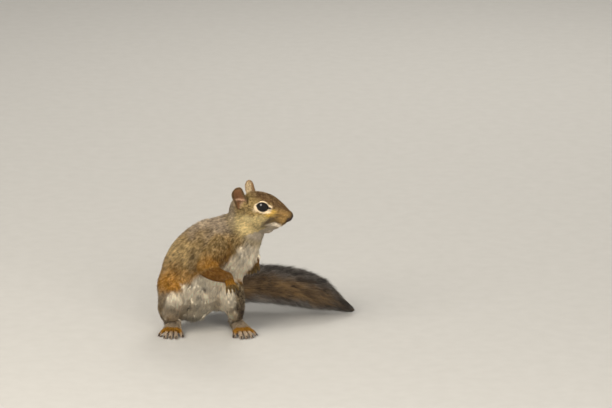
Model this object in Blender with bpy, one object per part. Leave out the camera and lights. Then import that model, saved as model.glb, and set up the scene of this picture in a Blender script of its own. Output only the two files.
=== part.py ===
"""Grey squirrel, a still life-size model.

It crouches on both hind feet with its belly to the front (-Y). The trunk leans up to +X, the head
looks along +X and a little to the front, both hands hang before the chest, and the tail leaves
behind the rump and lies along the floor to +X. The solids give the outer shape of the coat.
Sizes are in millimetres and are turned into metres as each mesh is made.
"""

import math

import bmesh
import bpy
from mathutils import Matrix, Vector

MM = 0.001
GAP = 0.3  # clear space between neighbouring pieces
GROW = 0.4  # how far a neighbour is swollen before it is cut away
CRUMB = 30.0  # cubic millimetres: smaller leftovers of a cut are dropped

RING_SIDES = 20
SPAN_STEPS = 5  # rings between two stations of a loft
CAP_RINGS = 3

# How each whole is melted from its lofts: voxel size, smoothing passes, triangles left.
TRUNK_MELT = (1.3, 5, 1800)
LEG_MELT = (1.4, 5, 430)
ARM_MELT = (1.2, 3, 300)
FOOT_MELT = (0.9, 2, 350)
HAND_MELT = (0.8, 1, 240)
TAIL_MELT = (1.6, 4, 500)

SIDES = {"right": 1, "left": -1}  # 1 is the animal's right, which is its near side

HEAD_YAW = math.radians(19)  # how far the nose turns from +X to the front
HEAD_BASE = Vector((47.3, 36.0, 0.0))  # on the head's midline, between the ears
EYE_RADIUS = 6.2
EYE_AHEAD = 25.8  # eye centre before the ears
EYE_ASIDE = 10.6
EYE_HEIGHT = 143.8
EAR_HEIGHT = 24.5
EAR_WIDTH = 15.0
EAR_THICK = 1.6
EAR_CUP = 3.0  # how deep the ear is hollowed

TOE_RADIUS = 2.5
FOOT_CLAW = 5.0
HAND_CLAW = 3.6
CLAW_RADIUS = 0.95
CLAW_TIP = 0.35

# Trunk stations from the rump to the back of the head: x, y, z, half depth, half width.
TRUNK = (
    (-7, 53, 30.5, 25, 29),
    (-7, 52, 42, 35, 36),
    (-5, 50, 54, 39, 37),
    (0, 48, 68, 40, 35),
    (12, 45, 81.5, 40, 33),
    (28.5, 42, 93.5, 38, 30),
    (41.5, 39, 107, 30, 25.5),
    (50.5, 36, 119, 22.5, 21),
    (56, 34, 130, 18, 17),
)

# Head stations along the nose's direction: ahead of the ears, z, half height, half width.
HEAD = (
    (-2.5, 135.5, 16.5, 15),
    (2, 134.5, 20, 17.2),
    (10, 134.5, 22.6, 18.6),
    (20, 135, 22.4, 18),
    (28, 135, 20.8, 15.8),
    (35, 134.4, 17.8, 13),
    (41, 133.8, 14, 10.6),
    (47, 133, 9.8, 8.3),
    (51.5, 132.6, 6.2, 6.2),
)

# Legs from the hip to the knee, then to the ankle: x, y, z, half depth, half width.
LEGS = {
    "right": {
        "thigh": (
            (-18, 63, 42, 27, 20),
            (-24.5, 46, 48, 27.5, 22),
            (-27.5, 28, 50, 22, 19),
            (-28, 19, 50, 15, 14),
        ),
        "shin": (
            (-29, 21, 45, 16, 16),
            (-32, 28, 31, 13, 14),
            (-32.5, 35, 20, 10.5, 12),
            (-30.5, 42, 11, 8.5, 9),
        ),
    },
    "left": {
        "thigh": (
            (16, 65, 41, 26, 19),
            (24.5, 48, 46, 26, 20),
            (31, 31, 48, 21, 17.5),
            (34, 22, 48, 14, 13),
        ),
        "shin": (
            (35.5, 24, 43, 15, 14),
            (37.5, 30, 31, 12.5, 12),
            (38.5, 36, 20, 10, 9.5),
            (37, 42, 11, 8, 8),
        ),
    },
}

# Arms from the shoulder to the elbow, then to the wrist: x, y, z, half depth, half width.
ARMS = {
    "right": {
        "upper": ((28, 21, 106, 15, 10), (17, 16, 93, 14, 10.5), (7, 11, 82, 11, 10), (4, 8, 78, 8, 8)),
        "fore": ((5, 8, 77.5, 8, 8), (13, 3.5, 75, 9, 8.5), (23, 0, 72, 8, 7.5), (30.5, -2.5, 70, 5.8, 5.8)),
    },
    "left": {
        "upper": ((41, 61, 106, 14, 9.5), (38, 71, 94, 12, 10), (34, 76, 82, 9.5, 9.5), (33.5, 75, 77, 8, 8)),
        "fore": ((35, 75, 77, 8, 8), (45, 68, 78, 8, 7.5), (54, 58, 79.5, 7, 7), (59, 47, 80, 5.5, 5.5)),
    },
}

# Hands and feet: wrist or heel, the way the digits point, how many, and how far they spread.
HANDS = {
    "right": {"at": (32, -3, 69.5), "to": (0.24, -0.8, -0.54), "flat": (0.85, 0.4, 0.3)},
    "left": {"at": (59.5, 45.5, 79.5), "to": (-0.05, -0.72, -0.7), "flat": (-0.8, 0.25, -0.4)},
}
FEET = {
    "right": {"heel": (-27.5, 57), "yaw": math.radians(-4), "outward": -1},
    "left": {"heel": (36, 56), "yaw": math.radians(16), "outward": 1},
}
FOOT_LENGTH = 58.0

# Tail from the rump to its tip: x, y, z, half height, half width.
TAIL = (
    (-4, 74, 25, 13, 13),
    (0, 93, 27, 17, 18),
    (17, 107, 30, 21, 24),
    (48, 113, 31.5, 23.5, 29),
    (80, 111, 31.5, 24, 31),
    (110, 108, 27.5, 22.5, 29),
    (135, 106, 19, 17.5, 22),
    (152, 105.5, 9, 9.8, 12),
    (163, 105, 3, 4.4, 5.5),
)

# Thin cuts that part each whole: a point on the cut and its normal.
HEAD_CUT = ((46, 36, 119), (0.62, -0.2, 0.76))
CHEST_CUT = ((39, 38, 107), (0.62, -0.05, 0.78))
WAIST_CUT = ((4, 46, 72), (0.35, 0, 0.94))
TAIL_CUTS = (((8, 99, 30), (0.55, 0.83, 0)), ((64, 112, 33), (1, 0, 0)), ((122, 107, 25), (1, 0, -0.2)))
KNEE_CUT_BELOW = Vector((0, 5, -19))  # from the knee's end of the thigh
KNEE_CUT_NORMAL = (0, 0.35, 0.94)
ELBOW_CUT_BEYOND = 2
PLATE_RADIUS = 80

# A point inside each body that the cuts leave.
TRUNK_SEEDS = {"head": (68, 29, 136), "neck": (43, 37, 114), "chest": (25, 42, 92), "abdomen": (-5, 50, 42)}
TAIL_SEEDS = {
    "tail_base": (0, 82, 26),
    "tail_middle": (36, 112, 33),
    "tail_end": (92, 110, 33),
    "tail_tip": (145, 105, 16),
}

BACK_BROWN = (0.235, 0.175, 0.110)
RUSTY_BROWN = (0.330, 0.165, 0.050)
TAIL_GREY = (0.150, 0.120, 0.090)
COAT_ROUGHNESS = 0.9
EYE_ROUGHNESS = 0.08

# The colour of each node whose name starts so.
COLOURS = {
    "head": (0.330, 0.230, 0.095),
    "neck": BACK_BROWN,
    "chest": BACK_BROWN,
    "abdomen": (0.560, 0.500, 0.390),
    "ear": (0.180, 0.085, 0.045),
    "eye": (0.006, 0.005, 0.005),
    "upper_arm": RUSTY_BROWN,
    "forearm": RUSTY_BROWN,
    "hand": BACK_BROWN,
    "thigh": RUSTY_BROWN,
    "shin": BACK_BROWN,
    "foot": (0.480, 0.250, 0.060),
    "tail": TAIL_GREY,
    "tail_tip": (0.085, 0.070, 0.060),
}


def clearScene():
    for old in list(bpy.data.objects):
        bpy.data.objects.remove(old, do_unlink=True)


def splineThrough(stations, steps):
    """Catmull-Rom samples through stations that are tuples of any one length."""
    first = [2 * a - b for a, b in zip(stations[0], stations[1])]
    last = [2 * a - b for a, b in zip(stations[-1], stations[-2])]
    row = [first, *stations, last]

    def between(a, b, c, d, t):
        return (2 * b + (c - a) * t + (2 * a - 5 * b + 4 * c - d) * t**2 + (3 * b - a - 3 * c + d) * t**3) / 2

    samples = []
    for four in zip(row, row[1:], row[2:], row[3:]):
        samples += [[between(*values, step / steps) for values in zip(*four)] for step in range(steps)]
    samples.append(list(stations[-1]))
    return samples


def addLoft(bm, stations, side=None, sides=RING_SIDES, steps=SPAN_STEPS, capRings=CAP_RINGS):
    """Adds a closed tube of elliptic rings along the stations, with rounded ends.

    The half width is measured along side, or across the path and level if side is None.
    """
    rows = splineThrough(stations, steps)
    centres = [Vector(row[:3]) for row in rows]
    rings = []

    def ring(centre, tangent, deep, wide):
        across = Vector(side) if side else tangent.cross(Vector((0, 0, 1)))
        across = (across - tangent * across.dot(tangent)).normalized()
        up = tangent.cross(across)
        corners = []
        for k in range(sides):
            turn = 2 * math.pi * k / sides
            corners.append(bm.verts.new(centre + across * wide * math.cos(turn) + up * deep * math.sin(turn)))
        rings.append(corners)

    def cap(centre, tangent, deep, wide, sign):
        depth = 0.9 * min(deep, wide)
        angles = [math.pi / 2 * k / (capRings + 1) for k in range(1, capRings + 1)]
        for angle in angles if sign > 0 else reversed(angles):
            shrink = math.cos(angle)
            ring(centre + tangent * sign * depth * math.sin(angle), tangent, deep * shrink, wide * shrink)

    last = len(rows) - 1
    for index, row in enumerate(rows):
        tangent = (centres[min(index + 1, last)] - centres[max(index - 1, 0)]).normalized()
        deep, wide = row[3], row[4]
        if index == 0:
            cap(centres[0], tangent, deep, wide, -1)
        ring(centres[index], tangent, deep, wide)
        if index == last:
            cap(centres[last], tangent, deep, wide, 1)
    for low, high in zip(rings, rings[1:]):
        for k in range(sides):
            bm.faces.new((low[k], low[(k + 1) % sides], high[(k + 1) % sides], high[k]))
    bm.faces.new(list(reversed(rings[0])))
    bm.faces.new(rings[-1])


def objectFrom(bm, name):
    """Turns a millimetre bmesh into a new object with its faces pointing out."""
    bmesh.ops.recalc_face_normals(bm, faces=bm.faces)
    mesh = bpy.data.meshes.new(name)
    bm.to_mesh(mesh)
    bm.free()
    made = bpy.data.objects.new(name, mesh)
    bpy.context.collection.objects.link(made)
    return made


def applyModifiers(target):
    """Replaces the object's mesh with the mesh that its modifiers give."""
    bpy.context.view_layer.update()
    graph = bpy.context.evaluated_depsgraph_get()
    target.data = bpy.data.meshes.new_from_object(target.evaluated_get(graph))
    target.modifiers.clear()


def fuse(target, melt):
    """Melts overlapping lofts into one smooth closed surface of about so many triangles."""
    voxel, smoothing, triangles = melt
    remesh = target.modifiers.new("Melt", "REMESH")
    remesh.mode = "VOXEL"
    remesh.voxel_size = voxel
    smooth = target.modifiers.new("Soften", "SMOOTH")
    smooth.factor = 0.5
    smooth.iterations = smoothing
    applyModifiers(target)
    decimate = target.modifiers.new("Lighten", "DECIMATE")
    decimate.ratio = triangles / (2 * len(target.data.polygons))
    decimate.use_collapse_triangulate = True
    applyModifiers(target)


def melted(name, lofts, melt):
    """Fuses lofts given as (stations, side) pairs into one object."""
    bm = bmesh.new()
    for stations, side in lofts:
        addLoft(bm, stations, side)
    made = objectFrom(bm, name)
    fuse(made, melt)
    return made


def grown(source, by=GROW):
    """A copy of the object swollen along its normals, to cut its neighbours clear of it."""
    copy = bpy.data.objects.new(source.name + "_grown", source.data.copy())
    bpy.context.collection.objects.link(copy)
    for vertex in copy.data.vertices:
        vertex.co += vertex.normal * by
    return copy


def boolean(target, other, operation="DIFFERENCE"):
    """Cuts other out of target, or joins it on, and removes it."""
    modifier = target.modifiers.new("Boolean", "BOOLEAN")
    modifier.operation = operation
    modifier.object = other
    applyModifiers(target)
    bpy.data.objects.remove(other, do_unlink=True)


def islandsOf(bm):
    """The closed bodies of a bmesh, as lists of their faces."""
    left = set(bm.faces)
    found = []
    while left:
        body = {left.pop()}
        edge = list(body)
        while edge:
            near = {other for loop in edge.pop().loops for other in loop.edge.link_faces} & left
            left -= near
            body |= near
            edge.extend(near)
        found.append(body)
    return found


def keepMain(target):
    """Drops the crumbs that a cut leaves, so that one body stays."""
    bm = bmesh.new()
    bm.from_mesh(target.data)
    bodies = sorted(islandsOf(bm), key=lambda faces: sum(face.calc_area() for face in faces))
    for body in bodies[:-1]:
        bmesh.ops.delete(bm, geom=list(body), context="FACES")
    bm.to_mesh(target.data)
    bm.free()


def partAt(source, cuts, seeds):
    """Parts an object with thin plates and names each body after the seed point nearest to it.

    A cut is (point, normal), and seeds is {name: point}.
    """
    plate = {"cap_ends": True, "segments": 24, "radius1": PLATE_RADIUS, "radius2": PLATE_RADIUS, "depth": GAP}
    for point, normal in cuts:
        bm = bmesh.new()
        turn = Vector(normal).to_track_quat("Z", "Y").to_matrix().to_4x4()
        bmesh.ops.create_cone(bm, matrix=Matrix.Translation(Vector(point)) @ turn, **plate)
        boolean(source, objectFrom(bm, "plate"))
    bm = bmesh.new()
    bm.from_mesh(source.data)
    bodies = [body for body in islandsOf(bm) if sum(face.calc_area() for face in body) > CRUMB]
    made = {}
    for name, seed in seeds.items():
        where = Vector(seed)
        body = min(bodies, key=lambda faces: (centreOf(faces) - where).length)
        piece = bmesh.new()
        twins = {v: piece.verts.new(v.co) for v in {v for face in body for v in face.verts}}
        for face in body:
            piece.faces.new([twins[v] for v in face.verts])
        made[name] = objectFrom(piece, name)
    bm.free()
    bpy.data.objects.remove(source, do_unlink=True)
    return made


def centreOf(faces):
    points = [v.co for v in {v for face in faces for v in face.verts}]
    low = Vector([min(p[axis] for p in points) for axis in range(3)])
    high = Vector([max(p[axis] for p in points) for axis in range(3)])
    return (low + high) / 2


def headPoint(ahead, right, height):
    """A point given along the head's own directions."""
    forward = Vector((math.cos(HEAD_YAW), -math.sin(HEAD_YAW), 0))
    sideways = Vector((-math.sin(HEAD_YAW), -math.cos(HEAD_YAW), 0))
    return HEAD_BASE + forward * ahead + sideways * right + Vector((0, 0, height))


def makeTrunk():
    """Head, neck, chest and abdomen in one smooth surface, with the eyes' hollows."""
    head = [(*headPoint(ahead, 0, z), deep, wide) for ahead, z, deep, wide in HEAD]
    headSide = headPoint(0, 1, 0) - headPoint(0, 0, 0)
    return melted("trunk", [(TRUNK, (0, 1, 0)), (head, headSide)], TRUNK_MELT)


def makeEye(name, right):
    bm = bmesh.new()
    place = Matrix.Translation(headPoint(EYE_AHEAD, EYE_ASIDE * right, EYE_HEIGHT))
    bmesh.ops.create_icosphere(bm, subdivisions=2, radius=EYE_RADIUS, matrix=place)
    return objectFrom(bm, name)


def makeEar(name, right):
    """A cupped leaf, rounded at its tip, hollow to the side and a little forward."""
    rows, columns = 6, 6
    bm = bmesh.new()
    base = headPoint(2.8, 18.2 * right, 140.6)
    up = (headPoint(1.4, 17.6 * right, 165.0) - base).normalized()
    facing = (headPoint(0.5, right, 0) - headPoint(0, 0, 0)).normalized()
    across = up.cross(facing).normalized()
    facing = across.cross(up).normalized()
    sheets = []
    for layer in (0, 1):
        sheet = []
        for row in range(rows + 1):
            high = row / rows
            half = EAR_WIDTH / 2 * math.sqrt(max(0.0, 1 - (2 * high - 1) ** 2 * 0.97)) ** 0.8
            line = []
            for column in range(columns + 1):
                aside = 2 * column / columns - 1
                hollow = EAR_CUP * (1 - aside**2) * math.sin(math.pi * min(1.0, high + 0.15))
                sink = hollow + (EAR_THICK if layer else 0.0) * (1 - 0.45 * abs(aside))
                corner = base + up * EAR_HEIGHT * high + across * half * aside - facing * sink
                line.append(bm.verts.new(corner))
            sheet.append(line)
        sheets.append(sheet)
    for layer, sheet in enumerate(sheets):
        for row in range(rows):
            for column in range(columns):
                square = [
                    sheet[row][column],
                    sheet[row][column + 1],
                    sheet[row + 1][column + 1],
                    sheet[row + 1][column],
                ]
                bm.faces.new(square if layer else square[::-1])
    front, back = sheets
    rim = [(row, 0) for row in range(rows)] + [(rows, column) for column in range(columns)]
    rim += [(row, columns) for row in range(rows, 0, -1)] + [(0, column) for column in range(columns, 0, -1)]
    for (rowA, columnA), (rowB, columnB) in zip(rim, rim[1:] + rim[:1]):
        bm.faces.new(
            (front[rowA][columnA], front[rowB][columnB], back[rowB][columnB], back[rowA][columnA])
        )
    return objectFrom(bm, name)


def makeLeg(name, leg):
    lofts = [(leg["thigh"], (1, 0, 0)), (leg["shin"], (1, 0, 0))]
    return melted(name, lofts, LEG_MELT)


def makeArm(name, arm):
    lofts = [(arm["upper"], (0, 1, 0)), (arm["fore"], (0, 1, 0))]
    return melted(name, lofts, ARM_MELT)


def addClaws(target, claws, length):
    """Joins a small hooked cone to each digit's tip."""
    bm = bmesh.new()
    for tip, forward in claws:
        stations = [
            (*(tip - forward * 1.5), CLAW_RADIUS, CLAW_RADIUS),
            (*(tip + forward * length * 0.4), CLAW_RADIUS * 0.8, CLAW_RADIUS * 0.8),
            (*(tip + forward * length * 0.8 - Vector((0, 0, 0.9))), CLAW_TIP, CLAW_TIP),
        ]
        addLoft(bm, stations, sides=5, steps=1, capRings=0)
    boolean(target, objectFrom(bm, "claws"), "UNION")


def makeFoot(name, foot):
    """A long flat hind foot with five fanned toes, cut level on the floor."""
    yaw = foot["yaw"]
    forward = Vector((math.sin(yaw), -math.cos(yaw), 0))
    outward = Vector((math.cos(yaw), math.sin(yaw), 0)) * foot["outward"]
    heel = Vector((*foot["heel"], 0))
    sole = [
        (*(heel + Vector((0, 0, 5.5))), 5.5, 6),
        (*(heel + forward * 14 + Vector((0, 0, 6.5))), 6.8, 7),
        (*(heel + forward * 28 + Vector((0, 0, 5.5))), 6.0, 8.2),
        (*(heel + forward * 38 + Vector((0, 0, 4.2))), 5.0, 9.2),
    ]
    lofts = [(sole, outward)]
    claws = []
    reaches = (46.5, 53.5, FOOT_LENGTH - 4.5, 52.5, 45.0)
    for toe, reach in enumerate(reaches):
        aside = (toe - 2) / 2  # -1 is the inner toe, 1 the outer
        root = heel + forward * (36 - 4 * abs(aside)) + outward * 7.0 * aside
        tip = heel + forward * reach + outward * 11.0 * aside
        knuckle = root.lerp(tip, 0.55)
        lofts.append(
            (
                [
                    (root.x, root.y, 4.0, TOE_RADIUS + 0.6, TOE_RADIUS + 0.4),
                    (knuckle.x, knuckle.y, 4.4, TOE_RADIUS + 0.2, TOE_RADIUS),
                    (tip.x, tip.y, 2.3, TOE_RADIUS - 0.3, TOE_RADIUS - 0.3),
                ],
                outward,
            )
        )
        claws.append((Vector((tip.x, tip.y, 3.0)), (tip - root).normalized()))
    made = melted(name, lofts, FOOT_MELT)
    addClaws(made, claws, FOOT_CLAW)
    cutAtFloor(made)
    return made


def makeHand(name, hand):
    """A small hanging hand with four fingers and a stub of a thumb."""
    wrist = Vector(hand["at"])
    down = Vector(hand["to"]).normalized()
    across = Vector(hand["flat"])
    across = (across - down * across.dot(down)).normalized()
    palm = down.cross(across)
    lofts = [
        (
            [
                (*wrist, 4.8, 5.2),
                (*(wrist + down * 6), 3.8, 5.4),
                (*(wrist + down * 11), 3.0, 5.6),
            ],
            across,
        )
    ]
    claws = []
    for finger in range(4):
        aside = (finger - 1.5) / 1.5
        root = wrist + down * 10 + across * 4.0 * aside
        reach = 10.0 - 2.0 * abs(aside)
        knuckle = root + down * reach * 0.55 + across * 0.8 * aside + palm * 0.8
        tip = root + down * reach + across * 1.3 * aside - palm * 0.6
        lofts.append(([(*root, 1.9, 1.9), (*knuckle, 1.75, 1.75), (*tip, 1.4, 1.4)], across))
        claws.append((tip, (tip - knuckle).normalized()))
    made = melted(name, lofts, HAND_MELT)
    addClaws(made, claws, HAND_CLAW)
    return made


def makeTail():
    made = melted("tail", [(TAIL, None)], TAIL_MELT)
    cutAtFloor(made)
    return made


def cutAtFloor(target):
    """Cuts the object level at the floor, which leaves a small flat to stand on."""
    size = 400
    bm = bmesh.new()
    bmesh.ops.create_cube(bm, size=1, matrix=Matrix.Translation((0, 0, -size / 2)) @ Matrix.Scale(size, 4))
    boolean(target, objectFrom(bm, "floor"))


def centreOverOrigin(nodes):
    """Scales to metres and moves the model so that its box stands centred over the origin."""
    corners = [v.co for node in nodes for v in node.data.vertices]
    low = Vector([min(c[axis] for c in corners) for axis in range(3)])
    high = Vector([max(c[axis] for c in corners) for axis in range(3)])
    centre = Vector(((low.x + high.x) / 2, (low.y + high.y) / 2, 0))
    for node in nodes:
        node.data.transform(Matrix.Scale(MM, 4) @ Matrix.Translation(-centre))
        bm = bmesh.new()
        bm.from_mesh(node.data)
        bmesh.ops.triangulate(bm, faces=bm.faces)
        bmesh.ops.dissolve_degenerate(bm, edges=bm.edges, dist=2e-6)
        bm.to_mesh(node.data)
        bm.free()
        node.data.shade_smooth()
    print("moved by", -centre)


def addMaterial(node, colour, roughness):
    material = bpy.data.materials.new(node.name)
    material.use_nodes = True
    surface = material.node_tree.nodes["Principled BSDF"]
    surface.inputs["Base Color"].default_value = (*colour, 1)
    surface.inputs["Roughness"].default_value = roughness
    surface.inputs["Metallic"].default_value = 0.0
    material.diffuse_color = (*colour, 1)
    node.data.materials.clear()
    node.data.materials.append(material)


def makeHeadPieces(trunk, nodes):
    """Eyes set into the trunk's head end, and ears that stand on it."""
    for side, right in SIDES.items():
        eye = makeEye("eye_" + side, right)
        boolean(trunk, grown(eye))
        nodes[eye.name] = eye
    for side, right in SIDES.items():
        ear = makeEar("ear_" + side, right)
        boolean(ear, grown(trunk))
        keepMain(ear)
        nodes[ear.name] = ear


def makeLegs(trunk, nodes):
    """Feet and whole legs cut clear of the trunk; the legs stay whole for now."""
    legs = {}
    for side in SIDES:
        foot = makeFoot("foot_" + side, FEET[side])
        leg = makeLeg("leg_" + side, LEGS[side])
        for other in (foot, trunk):
            boolean(leg, grown(other))
        keepMain(leg)
        boolean(foot, grown(trunk))
        keepMain(foot)
        nodes[foot.name] = foot
        legs[side] = leg
    return legs


def makeArms(trunk, legs, nodes):
    """Hands and whole arms cut clear of the trunk and legs."""
    arms = {}
    for side in SIDES:
        hand = makeHand("hand_" + side, HANDS[side])
        boolean(hand, grown(trunk))
        keepMain(hand)
        arm = makeArm("arm_" + side, ARMS[side])
        for other in (hand, trunk, legs[side]):
            boolean(arm, grown(other))
        keepMain(arm)
        nodes[hand.name] = hand
        arms[side] = arm
    return arms


def partLimbs(legs, arms, nodes):
    """Cuts each leg at the knee and each arm at the elbow."""
    for side in SIDES:
        thigh, shin = LEGS[side]["thigh"], LEGS[side]["shin"]
        cut = (Vector(thigh[-1][:3]) + KNEE_CUT_BELOW, KNEE_CUT_NORMAL)
        seeds = {"thigh_" + side: thigh[1][:3], "shin_" + side: shin[2][:3]}
        nodes.update(partAt(legs[side], [cut], seeds))
        upper, fore = ARMS[side]["upper"], ARMS[side]["fore"]
        elbow = Vector(fore[0][:3])
        alongFore = (Vector(fore[-1][:3]) - elbow).normalized()
        alongUpper = (Vector(upper[0][:3]) - elbow).normalized()
        away = (alongFore - alongUpper).normalized()
        seeds = {"upper_arm_" + side: upper[1][:3], "forearm_" + side: fore[2][:3]}
        nodes.update(partAt(arms[side], [(elbow + away * ELBOW_CUT_BEYOND, away)], seeds))


def buildSquirrel():
    clearScene()
    nodes = {}
    trunk = makeTrunk()
    makeHeadPieces(trunk, nodes)
    legs = makeLegs(trunk, nodes)
    tail = makeTail()
    for other in (trunk, *legs.values()):
        boolean(tail, grown(other))
    keepMain(tail)
    arms = makeArms(trunk, legs, nodes)
    partLimbs(legs, arms, nodes)
    nodes.update(partAt(trunk, (HEAD_CUT, CHEST_CUT, WAIST_CUT), TRUNK_SEEDS))
    nodes.update(partAt(tail, TAIL_CUTS, TAIL_SEEDS))
    centreOverOrigin(list(nodes.values()))
    for name, node in nodes.items():
        key = next(k for k in sorted(COLOURS, key=len, reverse=True) if name.startswith(k))
        addMaterial(node, COLOURS[key], EYE_ROUGHNESS if key == "eye" else COAT_ROUGHNESS)


buildSquirrel()
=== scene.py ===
import math

import bmesh
import bpy
import numpy as np
from mathutils import Matrix, Vector
from mathutils.bvhtree import BVHTree
from mathutils.kdtree import KDTree


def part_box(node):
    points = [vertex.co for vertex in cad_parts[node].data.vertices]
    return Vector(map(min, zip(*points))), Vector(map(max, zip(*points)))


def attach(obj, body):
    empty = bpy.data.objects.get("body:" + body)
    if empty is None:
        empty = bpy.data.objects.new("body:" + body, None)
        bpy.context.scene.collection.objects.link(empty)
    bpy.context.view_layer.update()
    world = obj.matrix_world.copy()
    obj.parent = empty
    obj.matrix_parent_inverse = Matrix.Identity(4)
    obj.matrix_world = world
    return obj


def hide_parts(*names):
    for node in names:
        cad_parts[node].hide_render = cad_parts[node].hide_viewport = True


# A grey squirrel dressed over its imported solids: one skin, glass eyes, claws, whiskers and a coat
# of joined tufts. The pieces are worked out in millimetres and written in metres.
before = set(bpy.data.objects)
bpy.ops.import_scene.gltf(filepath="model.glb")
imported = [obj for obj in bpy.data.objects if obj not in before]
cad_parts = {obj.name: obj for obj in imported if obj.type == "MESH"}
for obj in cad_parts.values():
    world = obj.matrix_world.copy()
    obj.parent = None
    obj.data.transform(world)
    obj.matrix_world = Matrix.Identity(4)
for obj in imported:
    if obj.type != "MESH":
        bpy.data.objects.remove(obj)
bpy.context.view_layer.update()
mm = 0.001
scene = bpy.context.scene
sides = {"right": 1, "left": -1}


def unit(rows):
    return rows / np.maximum(np.linalg.norm(rows, axis=-1, keepdims=True), 1e-9)


def flattened(ways, normals):
    # ways laid into the surface that the normals stand on
    return unit(ways - normals * (ways * normals).sum(1, keepdims=True))


def ramp(low, high, value):
    # 0 at low and 1 at high, with soft ends
    t = np.clip((value - low) / (high - low), 0, 1)
    return t * t * (3 - 2 * t)


def bell(gap, width):
    return np.exp(-((gap / width) ** 2))


def waves(points, size, seed):
    # a smooth wandering value about 0, whose humps are about size millimetres across
    draw = np.random.default_rng(seed)
    total = np.zeros(len(points))
    for _ in range(7):
        direction = unit(draw.normal(size=3))
        pace = 2 * math.pi / (size * draw.uniform(1.2, 2.6))
        total += np.sin(points @ direction * pace + draw.uniform(0, 6.3))
    return total / 3.0


def splineThrough(stations, steps):
    rows = np.array(stations, float)
    rows = np.vstack((2 * rows[0] - rows[1], rows, 2 * rows[-1] - rows[-2]))
    samples = []
    for a, b, c, d in zip(rows, rows[1:], rows[2:], rows[3:]):
        bend, twist = 2 * a - 5 * b + 4 * c - d, 3 * b - a - 3 * c + d
        samples += [(2 * b + (c - a) * t + bend * t**2 + twist * t**3) / 2 for t in np.arange(steps) / steps]
    return np.array([*samples, rows[-2]])


def readValues(items, key, width, kind=np.float32):
    values = np.empty(len(items) * width, kind)
    items.foreach_get(key, values)
    return values.reshape(-1, width)


def readPoints(mesh):
    return readValues(mesh.vertices, "co", 3).astype(float) / mm


def writePoints(mesh, points):
    mesh.vertices.foreach_set("co", (points * mm).astype(np.float32).ravel())
    mesh.update()


def readNormals(mesh):
    return unit(readValues(mesh.vertex_normals, "vector", 3).astype(float))


def readEdges(mesh):
    return readValues(mesh.edges, "vertices", 2, np.int32)


def spread(values, edges, times):
    # each round gives a vertex the mean of itself and its neighbours
    values = np.array(values, float)
    flat = values.reshape(len(values), -1)
    count = np.bincount(edges.ravel(), minlength=len(values)) + 1.0
    for _ in range(times):
        for column in range(flat.shape[1]):
            kept = flat[:, column]
            total = kept + np.bincount(edges[:, 0], kept[edges[:, 1]], len(kept))
            total += np.bincount(edges[:, 1], kept[edges[:, 0]], len(kept))
            flat[:, column] = total / count
    return flat.reshape(values.shape)


def addObject(name, data):
    made = bpy.data.objects.new(name, data)
    scene.collection.objects.link(made)
    return made


def addPiece(name, bm):
    bmesh.ops.scale(bm, vec=(mm, mm, mm), verts=bm.verts)
    mesh = bpy.data.meshes.new(name)
    bm.to_mesh(mesh)
    bm.free()
    return addObject(name, mesh)


def dress(piece, finish, slot, *nodes):
    # smooth, with its material, on its body and in place of its nodes
    piece.data.polygons.foreach_set("use_smooth", [True] * len(piece.data.polygons))
    piece.data.materials.clear()
    piece.data.materials.append(finish)
    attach(piece, "root")
    if nodes:
        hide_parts(*nodes)


def settle(piece):
    # what the modifiers show becomes the mesh itself
    shown = piece.evaluated_get(bpy.context.evaluated_depsgraph_get())
    mesh = bpy.data.meshes.new_from_object(shown)
    piece.modifiers.clear()
    piece.data = mesh
    return piece


def melt(piece, voxel, passes):
    remesh = piece.modifiers.new("melt", "REMESH")
    remesh.mode = "VOXEL"
    remesh.voxel_size = voxel * mm
    remesh.use_smooth_shade = True
    smooth = piece.modifiers.new("smooth", "SMOOTH")
    smooth.factor = 0.5
    smooth.iterations = passes
    return settle(piece)


def meltedCopy(name, nodes, voxel, passes):
    # copies of CAD nodes, merged, swollen so that they meet over their cuts, and melted together
    bm = bmesh.new()
    for node in nodes:
        start = len(bm.verts)
        bm.from_mesh(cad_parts[node].data)
        bm.verts.ensure_lookup_table()
        bmesh.ops.remove_doubles(bm, verts=bm.verts[start:], dist=2e-6)
    bm.normal_update()
    for vert in bm.verts:
        vert.co = (vert.co + vert.normal * skinPlan["swell"] * mm) / mm
    return melt(addPiece(name, bm), voxel, passes)


def treeOf(mesh):
    bm = bmesh.new()
    bm.from_mesh(mesh)
    tree = BVHTree.FromBMesh(bm)
    bm.free()
    return tree


def nearest(tree, point):
    # the nearest place on a surface, its normal, its face and how far off it is
    spot, normal, face, gap = tree.find_nearest(Vector(point * mm))
    return np.array(spot) / mm, np.array(normal), face, gap / mm


def nearestOn(points, line, steps):
    # index along a curve's samples, with the samples, their tangents and the distance
    samples = splineThrough(line, steps)
    best = np.full(len(points), 1e9)
    index = np.zeros(len(points), int)
    for number, sample in enumerate(samples):
        gap = np.linalg.norm(points - sample, axis=1)
        index[gap < best] = number
        best = np.minimum(best, gap)
    return index, samples, unit(np.gradient(samples, axis=0)), best


balls = {}
for detail in (2, 3, 4):
    bm = bmesh.new()
    bmesh.ops.create_icosphere(bm, subdivisions=detail, radius=1)
    balls[detail] = bpy.data.meshes.new("ball")
    bm.to_mesh(balls[detail])
    bm.free()


def addBead(bm, place, radii, detail=2):
    ball = balls[detail].copy()
    ball.transform(Matrix.LocRotScale(Vector(place), None, Vector(radii)))
    bm.from_mesh(ball)
    bpy.data.meshes.remove(ball)


def addBeads(bm, stations, steps=6):
    # a soft limb: overlapping beads along a curve through x, y, z, radius
    for x, y, z, radius in splineThrough(stations, steps):
        addBead(bm, (x, y, z), (radius,) * 3)


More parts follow.
